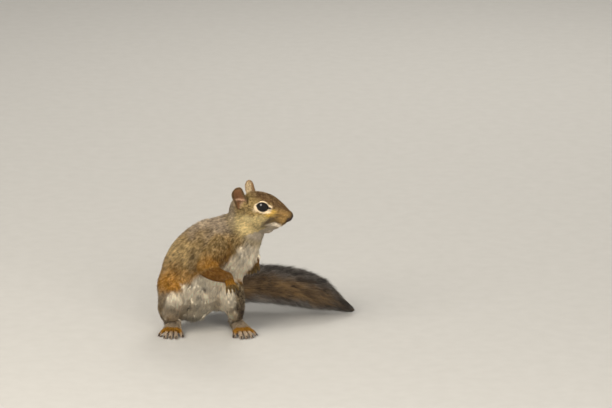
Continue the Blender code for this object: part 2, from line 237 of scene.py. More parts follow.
def addTube(bm, places, radii, corners):
    rings = []
    last = len(places) - 1
    for index, (place, radius) in enumerate(zip(places, radii)):
        ahead = Vector(places[min(index + 1, last)]) - Vector(places[max(index - 1, 0)])
        turn = Matrix.LocRotScale(Vector(place), ahead.to_track_quat("Z", "Y"), None)
        closed = index in (0, last)
        ring = bmesh.ops.create_circle(bm, segments=corners, radius=radius, matrix=turn, cap_ends=closed)
        rings.append({edge for vert in ring["verts"] for edge in vert.link_edges})
    for low, high in zip(rings, rings[1:]):
        bmesh.ops.bridge_loops(bm, edges=list(low | high))


def nodeCentre(name):
    low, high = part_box(name)
    return (np.array(low) + np.array(high)) / 2 / mm


# the head's own axes come from the two eyes
eyePlace = {side: nodeCentre("eye_" + side) for side in sides}
eyeRadius = (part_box("eye_right")[1].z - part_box("eye_right")[0].z) / 2 / mm
browMiddle = (eyePlace["right"] + eyePlace["left"]) / 2
headAside = unit((eyePlace["right"] - eyePlace["left"]) * (1, 1, 0))
headAhead = np.cross((0, 0, 1), headAside)
headAxes = np.array((headAhead, headAside, (0, 0, 1)))


def onHead(ahead, aside, up):
    return browMiddle + np.array((ahead, aside, up)) @ headAxes


def headFrame(points):
    return (points - browMiddle) @ headAxes.T


# camera and light
view = {
    "aim": (0.0547, 0.0, 0.1355),
    "down": math.radians(14),
    "distance": 4.0,
    "across": 0.661,  # width of the view at the squirrel
}
light = {
    "aim": (0, 0, 0.06),
    "sky": (1.0, 0.98, 0.96, 1),
    "skyStrength": 0.40,
    "lamps": (
        # name, place, size, watts, colour, mirrored in the eyes
        ("key", (-1.25, -1.3, 1.5), 1.6, 48, (1.0, 0.94, 0.85), True),
        ("fill", (0.7, -1.9, 0.55), 1.6, 38, (1.0, 0.96, 0.90), False),
        ("rim", (0.4, 1.6, 1.5), 1.0, 16, (1.0, 0.97, 0.92), False),
    ),
}


def stand(name, data, place, aim):
    made = addObject(name, data)
    made.location = place
    made.rotation_mode = "QUATERNION"
    made.rotation_quaternion = (Vector(aim) - Vector(place)).to_track_quat("-Z", "Y")
    return made


lens = bpy.data.cameras.new("camera")
lens.sensor_width = 36
lens.lens = 36 * view["distance"] / view["across"]
lens.clip_end = 100
back = Vector((0, -math.cos(view["down"]), math.sin(view["down"]))) * view["distance"]
scene.camera = stand("camera", lens, Vector(view["aim"]) + back, view["aim"])
scene.view_settings.view_transform = "Standard"
for name, place, size, watts, colour, mirrored in light["lamps"]:
    lamp = bpy.data.lights.new(name, "AREA")
    lamp.shape, lamp.size, lamp.energy, lamp.color = "DISK", size, watts, colour
    stand(name, lamp, place, light["aim"]).visible_glossy = mirrored
world = bpy.data.worlds.new("studio")
world.use_nodes = True
world.node_tree.nodes["Background"].inputs["Color"].default_value = light["sky"]
world.node_tree.nodes["Background"].inputs["Strength"].default_value = light["skyStrength"]
scene.world = world
print("stage: camera and lamps")

# skin
skinPlan = {
    "outline": (1.5, 5),  # size of the remesh and rounds of smoothing
    "core": (1.3, 9),
    "whole": (0.8, 2),
    "swell": 0.3,
    "mostFaces": 190000,  # triangles
    "tailShare": 0.40,  # of the tail's outline that is skin
    "tailLeast": 2.2,
    # how far the skin lies inside the solids, by node
    "depth": {
        "head": 1.9,
        "neck": 3.4,
        "chest": 3.5,
        "abdomen": 3.8,
        "upper_arm": 2.6,
        "forearm": 2.0,
        "thigh": 3.4,
        "shin": 2.4,
    },
    "muzzleDepth": 0.55,
    # the tail's middle line in its nodes: x, y, z, half height, half width
    "tail": (
        (-63.8, 8.0, 25, 11, 12),
        (-59.8, 30.0, 27, 17, 18),
        (-42.8, 45.9, 30, 21, 24),
        (-11.8, 51.9, 31.5, 23.5, 29),
        (20.2, 49.9, 31.5, 24, 31),
        (50.2, 46.9, 27.5, 22.5, 29),
        (75.2, 44.9, 19.5, 16, 20),
        (91.2, 44.2, 12, 8, 9),
        (100.5, 44.0, 7, 4, 4),
    ),
    "tailRoot": ((-62, -18, 32, 17), (-63.8, 4, 27, 11), (-61, 22, 27, 8)),
    # soft forms of the head: ahead, aside on both sides, up, radii
    "head": (
        (18.0, 4.8, -14.0, (7.0, 4.6, 5.4)),  # whisker pad
        (14.0, 4.0, -18.6, (7.6, 4.3, 4.6)),  # upper lip
        (-9, 11.0, -11, (13, 7.0, 11)),  # cheek
        (25.0, 0, -11.6, (4.4, 3.9, 5.0)),  # nose
        (8.0, 0, -22.6, (7.4, 4.8, 4.2)),  # chin
        (0.0, 0, -26.5, (8.5, 6.5, 4.6)),  # jaw
    ),
    "lid": 0.55,  # how far the lids stand out from the eye
}
coreNodes = ["head", "neck", "chest", "abdomen"]
for side in sides:
    coreNodes += [part + "_" + side for part in ("upper_arm", "forearm", "thigh", "shin")]
tailNodes = ["tail_base", "tail_middle", "tail_end", "tail_tip"]
tipNodes = [part + "_" + side for part in ("hand", "foot", "ear") for side in sides]
fleshNodes = coreNodes + tailNodes + tipNodes

# the outer shape of the coat, as one surface, tells how far the hair may reach
outline = meltedCopy("outline", fleshNodes, *skinPlan["outline"])
outlineTree = treeOf(outline.data)

# one tree of all flesh nodes tells which node a point belongs to
nodeOfFace = []
bm = bmesh.new()
for number, name in enumerate(fleshNodes):
    before = len(bm.faces)
    bm.from_mesh(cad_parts[name].data)
    nodeOfFace += [number] * (len(bm.faces) - before)
nodeTree = BVHTree.FromBMesh(bm)
bm.free()


def nodeShares(points, edges, times):
    # how much each flesh node owns each vertex, softened over the joins
    owner = [nodeOfFace[nearest(nodeTree, point)[2]] for point in points]
    return spread(np.eye(len(fleshNodes))[owner], edges, times)


def partOf(name):
    return "tail" if name.startswith("tail") else name.replace("_right", "").replace("_left", "")


core = meltedCopy("core", coreNodes, *skinPlan["core"])
corePoints, coreEdges = readPoints(core.data), readEdges(core.data)
coreShares = nodeShares(corePoints, coreEdges, 12)
coreDepth = coreShares @ np.array([skinPlan["depth"].get(partOf(name), 2.0) for name in fleshNodes])
muzzle = ramp(0, 26, headFrame(corePoints)[:, 0]) * coreShares[:, fleshNodes.index("head")]
coreDepth = coreDepth * (1 - muzzle) + skinPlan["muzzleDepth"] * muzzle
writePoints(core.data, corePoints - spread(readNormals(core.data), coreEdges, 4) * coreDepth[:, None])
print("skin: core", len(corePoints), "points")

feet = {
    # heel, way of the toes in degrees, side of the little toe
    "right": ((-87.3, -4.1), -4, -1),
    "left": ((-23.8, -5.1), 16, 1),
}
footPlan = {
    # stations of a long bone of the sole: ahead, aside, up, radius
    "bone": ((0, 0, 5.6, 4.6), (14, 1.6, 6.2, 5.0), (27, 3.6, 5.6, 4.3), (36, 5.4, 4.2, 3.6)),
    # stations of a toe: share of its length, up, radius
    "toe": ((0, 4.2, 2.5), (0.45, 4.8, 2.0), (0.78, 3.9, 1.8), (1, 2.3, 1.75)),
    "reaches": (46.5, 53.5, 53.5, 52.5, 45.0),  # how far ahead of the heel the toes end
    "knuckle": 36,
    "spread": (7.0, 12.2),  # half the width over the knuckles and over the toes' ends
    "pad": (1.9, 1.9, 1.4),
    "claw": (5.4, 0.95),  # length and radius
}
hands = {
    # wrist, way of the fingers, way across the palm
    "right": ((-27.8, -64.1, 69.5), (0.24, -0.8, -0.54), (0.85, 0.4, 0.3)),
    "left": ((-0.3, -15.6, 79.5), (-0.05, -0.72, -0.7), (-0.8, 0.25, -0.4)),
}
handPlan = {
    "bone": ((-3, 1.2, 3.6), (4, 2.0, 3.1), (10.5, 2.9, 2.4)),  # onward, aside, radius
    # stations of a finger: share of its length, aside, out of the palm, radius
    "finger": ((0, 0, 0, 1.6), (0.55, 1.6, 0.8, 1.3), (1, 2.4, -0.6, 1.05)),
    "root": (9.5, 4.0),
    "length": (10.5, 2.0),  # of the middle fingers, and how much shorter the outer ones are
    "claw": (3.6, 0.7),
}
clawRoots = []  # place, way it points, length, radius, limb


def footAxes(side):
    (x, y), yaw, outSign = feet[side]
    yaw = math.radians(yaw)
    ahead = np.array((math.sin(yaw), -math.cos(yaw), 0))
    outward = np.array((math.cos(yaw), math.sin(yaw), 0)) * outSign
    return np.array((x, y, 0.0)), ahead, outward


def footReach(points, side):
    # how far ahead of the heel, and how far towards the little toe
    heel, ahead, outward = footAxes(side)
    return (points - heel) @ ahead, (points - heel) @ outward


def handAxes(side):
    wrist, down, across = (np.array(v, float) for v in hands[side])
    down = unit(down)
    across = unit(across - down * (across @ down))
    return wrist, down, across, np.cross(down, across)


def addFoot(bm, side):
    heel, ahead, outward = footAxes(side)
    up = np.array((0, 0, 1.0))
    for row in (-1, 0, 1):  # the sole's three long bones
        bone = [(*(heel + ahead * a + outward * row * s + up * u), r) for a, s, u, r in footPlan["bone"]]
        addBeads(bm, bone)
    narrow, wide = footPlan["spread"]
    for toe, reach in enumerate(footPlan["reaches"]):
        aside = (toe - 2) / 2
        root = heel + ahead * (footPlan["knuckle"] - 4 * abs(aside)) + outward * narrow * aside
        tip = heel + ahead * reach + outward * wide * aside
        way = unit(tip - root)
        addBeads(bm, [(*(root + (tip - root) * share + up * u), r) for share, u, r in footPlan["toe"]])
        addBead(bm, tip + up * 1.5 - way * 0.6, footPlan["pad"])
        clawRoots.append((tip + way * 0.7 + up * 3.3, way, *footPlan["claw"], "foot_" + side))


def addHand(bm, side):
    wrist, down, across, palm = handAxes(side)
    for row in (-1, 0, 1):
        addBeads(bm, [(*(wrist + down * a + across * row * s), r) for a, s, r in handPlan["bone"]])
    onward, aside = handPlan["root"]
    long, shorter = handPlan["length"]
    for finger in range(4):
        place = (finger - 1.5) / 1.5
        root = wrist + down * onward + across * aside * place
        reach = down * (long - shorter * abs(place))
        line = [root + reach * t + across * s * place + palm * out for t, s, out, _ in handPlan["finger"]]
        addBeads(bm, [(*spot, row[3]) for spot, row in zip(line, handPlan["finger"])])
        way = unit(line[2] - line[1])
        clawRoots.append((line[2] + way * 0.4, way, *handPlan["claw"], "hand_" + side))


bm = bmesh.new()
bm.from_mesh(core.data)
bmesh.ops.scale(bm, vec=(1 / mm,) * 3, verts=bm.verts)
for x, y, z, high, wide in splineThrough(skinPlan["tail"], 7):
    radius = max(skinPlan["tailShare"] * min(high, wide), skinPlan["tailLeast"])
    addBead(bm, (x, y, z), (radius,) * 3, 3)
addBeads(bm, skinPlan["tailRoot"])
for side, sign in sides.items():
    addFoot(bm, side)
    addHand(bm, side)
    addBead(bm, eyePlace[side], (eyeRadius + skinPlan["lid"],) * 3, 4)
    for ahead, aside, up, radii in skinPlan["head"]:
        if aside or sign > 0:
            addBead(bm, onHead(ahead, sign * aside, up), radii, 3)
skin = addPiece("skin", bm)
bpy.data.objects.remove(core)
melt(skin, *skinPlan["whole"])
print("skin: melted", len(skin.data.polygons), "faces")

ear = {
    "base": (-23.0, 18.2, -3.2),
    "tip": (-24.8, 17.6, 20.2),
    "facing": (0.5, 1.0, 0.0),
    "width": 14.0,
    "skew": 1.3,  # the front edge bulges low and the hind edge high
    "thick": 1.5,
    "cup": 3.6,
    "rim": 0.9,  # how far the rim rolls forward
    "fold": 1.0,  # height of the inner fold
}


def earFrame(side):
    # the ear's foot, its height, and the ways across it, out of it and up it
    turned = np.array((1, sides[side], 1))
    base = onHead(*(ear["base"] * turned))
    rise = onHead(*(ear["tip"] * turned)) - base
    height = np.linalg.norm(rise)
    rise = rise / height
    facing = unit((np.array(ear["facing"]) * turned) @ headAxes)
    across = unit(np.cross(rise, facing))
    return base, height, across, unit(np.cross(across, rise)), rise


def earHalf(high):
    return ear["width"] / 2 * np.maximum(0.0, 1 - (2 * high - 1) ** 2 * 0.985) ** 0.42


def earMiddle(high, side):
    # across is towards the face on the right ear and away from it on the left one
    return sides[side] * ear["skew"] * np.sin(2 * math.pi * high)


def makeEar(side):
    # a leaf-shaped sheet, cupped, thickened and rounded, whose foot is sunk in the head
    bm = bmesh.new()
    bmesh.ops.create_grid(bm, x_segments=14, y_segments=20, size=1)
    base, height, across, facing, rise = earFrame(side)
    for vert in bm.verts:
        aside, high = vert.co.x, (vert.co.y + 1) / 2
        hollow = ear["cup"] * (1 - aside**2) * math.sin(math.pi * min(1.0, high + 0.15))
        hollow -= ear["rim"] * ramp(0.75, 1.0, abs(aside)) * math.sin(math.pi * high)
        hollow -= ear["fold"] * bell(aside - 0.35, 0.16) * ramp(0.75, 0.45, high)
        place = base + rise * height * high + across * (earHalf(high) * aside + earMiddle(high, side))
        vert.co = Vector(place - facing * hollow)
    bmesh.ops.recalc_face_normals(bm, faces=bm.faces)
    made = addPiece("ear", bm)
    wall = made.modifiers.new("wall", "SOLIDIFY")
    wall.thickness = ear["thick"] * mm
    wall.offset = 0
    wall.use_even_offset = False
    rounded = made.modifiers.new("rounded", "SUBSURF")
    rounded.levels = rounded.render_levels = 1
    return settle(made)


def joined(target, others):
    bm = bmesh.new()
    for piece in (target, *others):
        bm.from_mesh(piece.data)
    bm.to_mesh(target.data)
    bm.free()
    for piece in others:
        bpy.data.objects.remove(piece)


face = {
    "eyeOpening": (58, 48),  # degrees from the eye's middle to its corners, and to the lids above and below
    "eyeCorner": 8,  # how much further the pointed corners reach
    "eyeTilt": 0.16,  # the front corner lies lower
    "lidRise": 0.5,
    "eyeTurn": (0.30, 0.94, 0.06),  # the way the eye looks: ahead, aside, up
    # curves on the face and places on it: ahead, aside, up
    "mouth": (
        (20, 0, -21.6),
        (17.5, 3.4, -22.4),
        (14, 5.6, -23.2),
        (9.5, 7.2, -23.6),
        (5, 8.8, -22.8),
        (2, 10, -21.0),
    ),
    "mouthDepth": 1.0,
    "nostril": (26.8, 3.2, -13.8),
    "nostrilDepth": 1.5,
    "groove": ((27.0, 2.6, -13.0), (25.0, 2.8, -16.5), (21.8, 2.0, -20.0)),
    "streak": ((15.2, 8, -7.8), (11, 10, -11.5), (8, 11, -15.5), (4, 12, -18.5), (0, 12.5, -22.0)),
    "tear": ((5.6, 15, -1.6), (8.6, 13, -3.2), (11.0, 12, -4.0)),
    "noseTip": (28.6, 0, -12.6),
    # where the mesh is made finer: ahead, aside, up, reach
    "fine": ((24, 0, -15, 9.0), (12, 6, -22, 8.5), (12, -6, -22, 8.5)),
    "fineEye": 10.5,
}


def divideNear(piece, spots):
    # finer faces round the eyes, nose and mouth
    bm = bmesh.new()
    bm.from_mesh(piece.data)
    chosen = set()
    for place, reach in spots:
        middle = Vector(place * mm)
        chosen |= {edge for edge in bm.edges if (edge.verts[0].co - middle).length < reach * mm}
    bmesh.ops.subdivide_edges(bm, edges=list(chosen), cuts=1, use_grid_fill=True, smooth=0.6)
    bmesh.ops.triangulate(bm, faces=[f for f in bm.faces if len(f.verts) > 4])
    bm.to_mesh(piece.data)
    bm.free()


def alongFace(points, name, sign, tree):
    # how far each point is from a curve of the face, mirrored to its side and brought on to the
    # skin, and how far along the curve it is
    line = [nearest(tree, onHead(a, s * sign, u))[0] for a, s, u in face[name]]
    index, samples, _, gap = nearestOn(points, line, 12)
    return gap, index / (len(samples) - 1)


def eyeAngles(points, side):
    # distance from the eye, the way to it, the angle off the eye's look and the rim's angle there
    out = unit(np.array(face["eyeTurn"]) * (1, sides[side], 1)) @ headAxes
    onward = headAhead - np.array((0, 0, face["eyeTilt"]))
    onward = unit(onward - out * (onward @ out))
    gap = np.linalg.norm(points - eyePlace[side], axis=1)
    ray = unit(points - eyePlace[side])
    theta = np.degrees(np.arccos(np.clip(ray @ out, -1, 1)))
    level = (ray @ onward) / np.maximum(np.sin(np.radians(theta)), 1e-3)
    wide, high = face["eyeOpening"]
    return gap, ray, theta, high + (wide - high) * level**2 + face["eyeCorner"] * level**6


def shapeEyes(points):
    for side in sides:
        gap, ray, theta, rim = eyeAngles(points, side)
        lid, behind = eyeRadius + face["lidRise"], 0.72 * eyeRadius
        # lids stand on the eye, and the skin in the opening sinks behind it
        raised = np.maximum(gap, lid * (1 - ramp(rim + 12, rim + 34, theta)))
        raised = np.where(theta < rim + 8, np.minimum(raised, lid + 0.25), raised)
        sunk = behind + (lid - behind) * ramp(rim - 7, rim, theta)
        target = np.where(theta < rim, sunk, raised)
        points = points + ray * ((target - gap) * ramp(11.5, 9.0, gap))[:, None]
    return points


def shapeMuzzle(points, normals, tree):
    push = np.zeros(len(points))
    for sign in sides.values():
        gap, share = alongFace(points, "mouth", sign, tree)
        push += face["mouthDepth"] * bell(gap, 0.75) * (1 - 0.5 * share)
        hole = nearest(tree, onHead(*(np.array(face["nostril"]) * (1, sign, 1))))[0]
        push += face["nostrilDepth"] * bell(np.linalg.norm(points - hole, axis=1), 1.0)
    return points - normals * push[:, None]


spots = [(eyePlace[side], face["fineEye"]) for side in sides]
divideNear(skin, spots + [(onHead(a, s, u), reach) for a, s, u, reach in face["fine"]])
points = shapeEyes(readPoints(skin.data))
writePoints(skin.data, points)
writePoints(skin.data, shapeMuzzle(points, readNormals(skin.data), treeOf(skin.data)))
joined(skin, [makeEar(side) for side in sides])
# fewer faces where the skin is nearly flat
thin = skin.modifiers.new("thin", "DECIMATE")
triangles = sum(len(polygon.vertices) - 2 for polygon in skin.data.polygons)
thin.ratio = min(1.0, skinPlan["mostFaces"] / triangles)
settle(skin)
skin.data.polygons.foreach_set("use_smooth", [True] * len(skin.data.polygons))
hideTree = treeOf(skin.data)
print("skin: shaped", len(skin.data.polygons), "faces")

# what the skin knows at each point: its node, the lie and length of its hair, its colour
lie = {
    # way the hair points in each node; the head's is in head axes
    "head": (-1.0, 0.0, -0.18),
    "neck": (-0.70, 0.12, -0.70),
    "chest": (-0.52, 0.10, -0.85),
    "abdomen": (-0.22, 0.18, -0.96),
    "upper_arm_right": (-0.15, -0.25, -0.95),
    "upper_arm_left": (-0.12, 0.25, -0.95),
    "forearm_right": (0.86, -0.36, -0.34),
    "forearm_left": (0.62, -0.76, 0.05),
    "hand_right": hands["right"][1],
    "hand_left": hands["left"][1],
    "thigh_right": (-0.05, -0.30, -0.95),
    "thigh_left": (0.10, -0.30, -0.95),
    "shin_right": (-0.05, 0.12, -0.99),
    "shin_left": (0.05, 0.12, -0.99),
    "foot_right": (-0.07, -0.98, -0.20),
    "foot_left": (0.27, -0.94, -0.20),
    "ankle": (0, -0.15, -1),
    "swirl": 0.14,  # how far the hair wanders from these
}
hair = {
    # length, width, how many on a square millimetre, clumping, shakiness
    "head": (3.8, 0.44, 7.4, 0.15, 0.14),
    "neck": (7.4, 0.64, 4.2, 0.30, 0.28),
    "chest": (7.6, 0.66, 4.0, 0.30, 0.26),
    "abdomen": (7.8, 0.68, 3.9, 0.32, 0.26),
    "upper_arm": (6.0, 0.60, 4.2, 0.26, 0.24),
    "forearm": (5.0, 0.54, 4.8, 0.22, 0.22),
    "thigh": (6.8, 0.64, 4.2, 0.30, 0.25),
    "shin": (5.4, 0.58, 4.2, 0.26, 0.22),
    "hand": (2.6, 0.38, 6.0, 0.10, 0.16),
    "foot": (3.0, 0.42, 5.0, 0.10, 0.16),
    "ear": (2.2, 0.32, 5.0, 0.10, 0.25),
    "tail": (26.0, 0.62, 5.0, 0.45, 0.11),
}
trunkLine = (  # the middle of the trunk, from the rump to the nape
    (-66.8, -8.1, 20),
    (-66.8, -9.1, 42),
    (-64.8, -11.1, 54),
    (-59.8, -13.1, 68),
    (-47.8, -16.1, 81.5),
    (-31.3, -19.1, 93.5),
    (-18.3, -22.1, 107),
    (-9.3, -25.1, 119),
    (-3.8, -27.1, 134),
)
tailLine = np.array(skinPlan["tail"])[:, :3]


class Hide:
    # the skin's points with what is known at each
    def __init__(self, mesh):
        self.points = readPoints(mesh)
        self.normals = readNormals(mesh)
        self.edges = readEdges(mesh)
        self.soft = unit(spread(self.normals, self.edges, 10))  # normals without the small forms
        self.shares = nodeShares(self.points, self.edges, 14)
        gaps = [nearest(outlineTree, point)[3] for point in self.points]
        self.height = spread(np.array(gaps), self.edges, 8)
        self.onHead = headFrame(self.points)

    def share(self, *parts):
        columns = [number for number, name in enumerate(fleshNodes) if name.startswith(parts)]
        return self.shares[:, columns].sum(1)


hide = Hide(skin.data)


def lieOfHair():
    wanted = np.zeros_like(hide.points)
    for number, name in enumerate(fleshNodes):
        if name == "head":
            way = unit(np.array(lie["head"]) @ headAxes)
        elif name.startswith("ear"):
            way = earFrame("right")[4]
        elif name.startswith("tail"):
            index, _, tangents, _ = nearestOn(hide.points, tailLine, 8)
            way = tangents[index]
        elif name.startswith("foot"):
            onFoot = ramp(18, 32, footReach(hide.points, name[5:])[0])[:, None]
            way = unit(np.array(lie[name]) * onFoot + np.array(lie["ankle"]) * (1 - onFoot))
        else:
            way = unit(np.array(lie[name], float))
        wanted += hide.shares[:, number : number + 1] * way
    swirl = np.stack([waves(hide.points, 16, seed) for seed in (3, 4, 5)], 1)
    wanted = unit(wanted) + lie["swirl"] * swirl * (1 - hide.share("tail", "ear"))[:, None]
    return unit(spread(flattened(wanted, hide.normals), hide.edges, 3))


hairLie = lieOfHair()
hairValues = hide.shares @ np.array([hair[partOf(name)] for name in fleshNodes])
hairLength, hairWidth, hairCount, hairClump, hairShake = hairValues.T.copy()
print("coat: lie of the hair")

whiteSide = {
    # heights, and at each the way the white front faces and how far it reaches round, in degrees
    "height": (30, 55, 63, 80, 90, 100, 118),
    "turn": (-92, -88, -60, -28, -24, -22, -20),
    "half": (62, 60, 46, 42, 48, 50, 46),
    # the upper edge of the white on each thigh, as x and height
    "knee": {"right": ((-100, -80, -58), (53, 53.5, 68)), "left": ((-40, -10, 10), (77, 55, 40))},
    # the small dark teats, by x and height on the belly
    "teats": ((-54, 57.5), (-68.5, 61), (-68, 36.5), (-59, 47)),
}
palette = {
    "back": (0.340, 0.220, 0.082),
    "nape": (0.42, 0.330, 0.235),
    "spine": (0.36, 0.220, 0.080),
    "haunch": (0.74, 0.53, 0.235),
    "rust": (0.43, 0.185, 0.008),
    "arm": (0.160, 0.060, 0.004),
    "white": (0.86, 0.77, 0.61),
    "throat": (0.46, 0.39, 0.30),
    "shin": (0.36, 0.270, 0.175),
    "face": (0.38, 0.262, 0.095),
    "gold": (0.78, 0.520, 0.110),
    "crown": (0.14, 0.072, 0.024),
    "cheek": (0.86, 0.70, 0.35),
    "muzzle": (0.38, 0.228, 0.072),
    "eyeRing": (0.86, 0.70, 0.48),
    "nose": (0.028, 0.016, 0.014),
    "lid": (0.012, 0.009, 0.008),
    "dark": (0.055, 0.034, 0.020),
    "streak": (0.080, 0.040, 0.030),
    "lip": (0.76, 0.66, 0.52),
    "earInside": (0.150, 0.068, 0.028),
    "earRim": (0.110, 0.068, 0.030),
    "earBand": (0.66, 0.43, 0.28),
    "earBack": (0.34, 0.200, 0.090),
    "earPale": (0.66, 0.520, 0.320),
    "foot": (0.31, 0.142, 0.006),
    "ankle": (0.27, 0.21, 0.145),
    "toe": (0.40, 0.31, 0.22),
    "finger": (0.13, 0.085, 0.030),
    "sole": (0.20, 0.12, 0.10),
    "tailMiddle": (0.145, 0.091, 0.046),
    "tailTop": (0.066, 0.057, 0.050),
    "tailUnder": (0.155, 0.144, 0.130),
    "tailTip": (0.045, 0.036, 0.027),
}


def markings():
    # colour, ticking, bareness and whiteness of every point of the skin; the coat reads them too
    points, normals, share = hide.points, hide.soft, hide.share
    ahead, aside, up = hide.onHead.T
    x, level = points[:, 0], points[:, 2]
    wander, fine = waves(points, 9, 11), waves(points, 4, 12)
    colour = np.tile(np.array(palette["back"]), (len(points), 1))
    tick = np.full(len(points), 0.55)
    bare = np.zeros(len(points))

    def paint(name, mask, ticked=None, bared=None):
        # ticked is how strongly the painted fur is banded, where it differs from what is under
        # it, and bared is where it has no fur
        nonlocal colour, tick, bare
        mask = np.clip(mask, 0, 1)
        colour = colour * (1 - mask[:, None]) + np.array(palette[name]) * mask[:, None]
        if ticked is not None:
            tick = tick * (1 - mask) + ticked * mask
        if bared is not None:
            bare = np.maximum(bare, bared)

    # how far each point of the trunk faces the way its white front does
    index, middles, tangents, _ = nearestOn(points, trunkLine, 8)
    heights = level + 1.5 * wander
    turn = np.radians(np.interp(heights, whiteSide["height"], whiteSide["turn"]))
    half = np.cos(np.radians(np.interp(heights, whiteSide["height"], whiteSide["half"])))
    front = np.stack((np.cos(turn), np.sin(turn), np.zeros(len(points))), 1)
    tangent = tangents[index]
    facing = (flattened(points - middles[index], tangent) * flattened(front, tangent)).sum(1)
    toFront = normals[:, 1] < 0
    trunk, headOwn = share("neck", "chest", "abdomen"), share("head")
    shins, tails = share("shin"), share("tail")

    # the back: brown along the spine, grey at the nape, rusty on the flank, haunch and arms
    paint("spine", ramp(-0.55, -0.95, facing) * 0.6 * trunk)
    paint("nape", ramp(100, 122, level + 4 * wander) * ramp(0.1, -0.4, facing) * trunk)
    paint("haunch", ramp(116, 92, level + 5 * wander) * ramp(-48, -72, x) * 0.95)
    rusty = 0.8 * trunk + 0.92 * share("thigh_right") + 0.2 * share("thigh_left")
    paint("rust", ramp(90, 67, level + 5 * wander) * rusty, 0.38)
    paint("rust", ramp(104, 80, level + 4 * wander) * share("upper_arm") * 0.85, 0.26)
    byArm = ramp(16, 6, np.abs(x + 34)) * ramp(112, 98, level + 3 * wander)
    paint("rust", byArm * share("chest", "abdomen") * toFront * 0.75, 0.38)
    paint("arm", 0.9 * share("forearm"), 0.1)
    # painted shade: the far forearm darker than the near one
    paint("crown", 0.55 * share("forearm_left"))
    # painted shade: a dark band in the fold between the haunch and the arm
    fold = ramp(5.5, 1.0, np.abs(x + 66 - 0.12 * (level - 85)) + 0.8 * fine)
    paint("crown", trunk * toFront * fold * ramp(70, 78, level) * ramp(106, 92, level) * 0.6)
    belowKnee = ramp(58, 48, level + 2 * wander) * share("thigh_right")
    paint("shin", np.maximum(np.maximum(shins, belowKnee), share("thigh_left") * ramp(60, 40, level)))

    # white below: chest, belly and the inner sides of the legs and arms
    white = ramp(half - 0.07, half + 0.09, facing + 0.05 * wander + 0.04 * fine)
    white = np.maximum(white, ramp(-0.25, -0.6, normals[:, 2]) * (level < 70))
    overKnee = ramp(-1, 3, level - np.interp(x, *whiteSide["knee"]["right"]))
    white *= (1 - overKnee * ramp(0.1, 0.4, share("thigh_right"))) * trunk
    paint("white", white)
    for side, sign in sides.items():
        legIn = normals @ np.array((sign * 0.85, -0.52, -0.10)) + 0.10 * wander
        legIn += 0.35 * ramp(48, 32, level) * (side == "right")
        kneeLine = np.interp(x, *whiteSide["knee"][side])
        thigh = share("thigh_" + side) * ramp(-2.0, 2.0, kneeLine - level + 1.2 * fine)
        whiteLeg = ramp(-0.1, 0.25, legIn) * np.maximum(share("shin_" + side), thigh)
        paint("white", whiteLeg)
        white = np.maximum(white, whiteLeg)
        armIn = -sign * (normals @ np.array((-0.45, -0.89, 0))) * 0.8 - 0.25 * normals[:, 2]
        arms = share("upper_arm_" + side, "forearm_" + side)
        paint("white", arms * ramp(0.35, 0.65, armIn + 0.1 * wander) * 0.9)
    # painted shade: the outer side of the left leg, which faces away from the light, painted dark
    leftLegShade = ramp(0.15, 0.6, normals[:, 0] + 0.1 * fine) * share("thigh_left", "shin_left", "foot_left")
    leftLegShade *= ramp(78, 62, level) * ramp(8, 14, level)
    paint("dark", leftLegShade * 0.85, 0.7)
    white = white * (1 - leftLegShade)
    paint("ankle", ramp(25, 15, level) * shins * 0.6, 0.25)
    paint("throat", white * ramp(80, 118, level) * 0.9)
    for across, height in whiteSide["teats"]:
        gap = np.hypot(x - across, level - height) / (1 + 0.15 * fine)
        paint("dark", white * toFront * ramp(3.3, 1.3, gap) * 0.9, 0.0)
    tick = tick * (1 - 0.88 * white)
    # painted shade: the white of the trunk darker towards the bottom of the belly, with a little random tone
    # on the white
    colour *= (1 - 0.35 * white * trunk * ramp(34, 14, level) + 0.10 * white * wander)[:, None]

    # head
    paint("face", headOwn, 0.45)
    paint("cheek", headOwn * ramp(-7, -13, up + fine) * ramp(14, 2, ahead) * 0.7, 0.3)
    paint("muzzle", headOwn * ramp(9, 18, ahead))
    goldGap = np.hypot((ahead - 9.5) / 6.4, (up + 7.0) / 4.2)
    paint("gold", headOwn * ramp(1.4, 0.5, goldGap + 0.15 * fine) * 0.85, 0.25)
    paint("crown", headOwn * ramp(2.0, 8.0, up + 0.45 * np.clip(ahead, -30, 30) + 1.2 * fine), 0.38)
    paint("nape", headOwn * ramp(-24, -32, ahead + 1.5 * wander) * 0.8)
    paint("throat", headOwn * ramp(-23.8, -25.6, up - 0.45 * np.clip(ahead, -30, 4) + 0.8 * fine), 0.07)
    lipGap = np.hypot((ahead - 12.5) / 6.6, (up + 20.0) / 2.9)
    paint("lip", headOwn * ramp(1.3, 0.8, lipGap + 0.1 * fine), 0.05)
    for side, sign in sides.items():
        own = (aside * sign > 0) * headOwn
        gap, along = alongFace(points, "streak", sign, hideTree)
        fade = np.sin(np.pi * (0.1 + 0.8 * along))
        paint("streak", own * ramp(2.7, 0.7, gap + 0.3 * fine) * fade * 0.92, 0.1)
        gap, _ = alongFace(points, "groove", sign, hideTree)
        paint("dark", own * bell(gap, 2.6) * 0.65, 0.1)
        paint("nose", own * bell(gap, 1.5) * 0.9, 0.0)
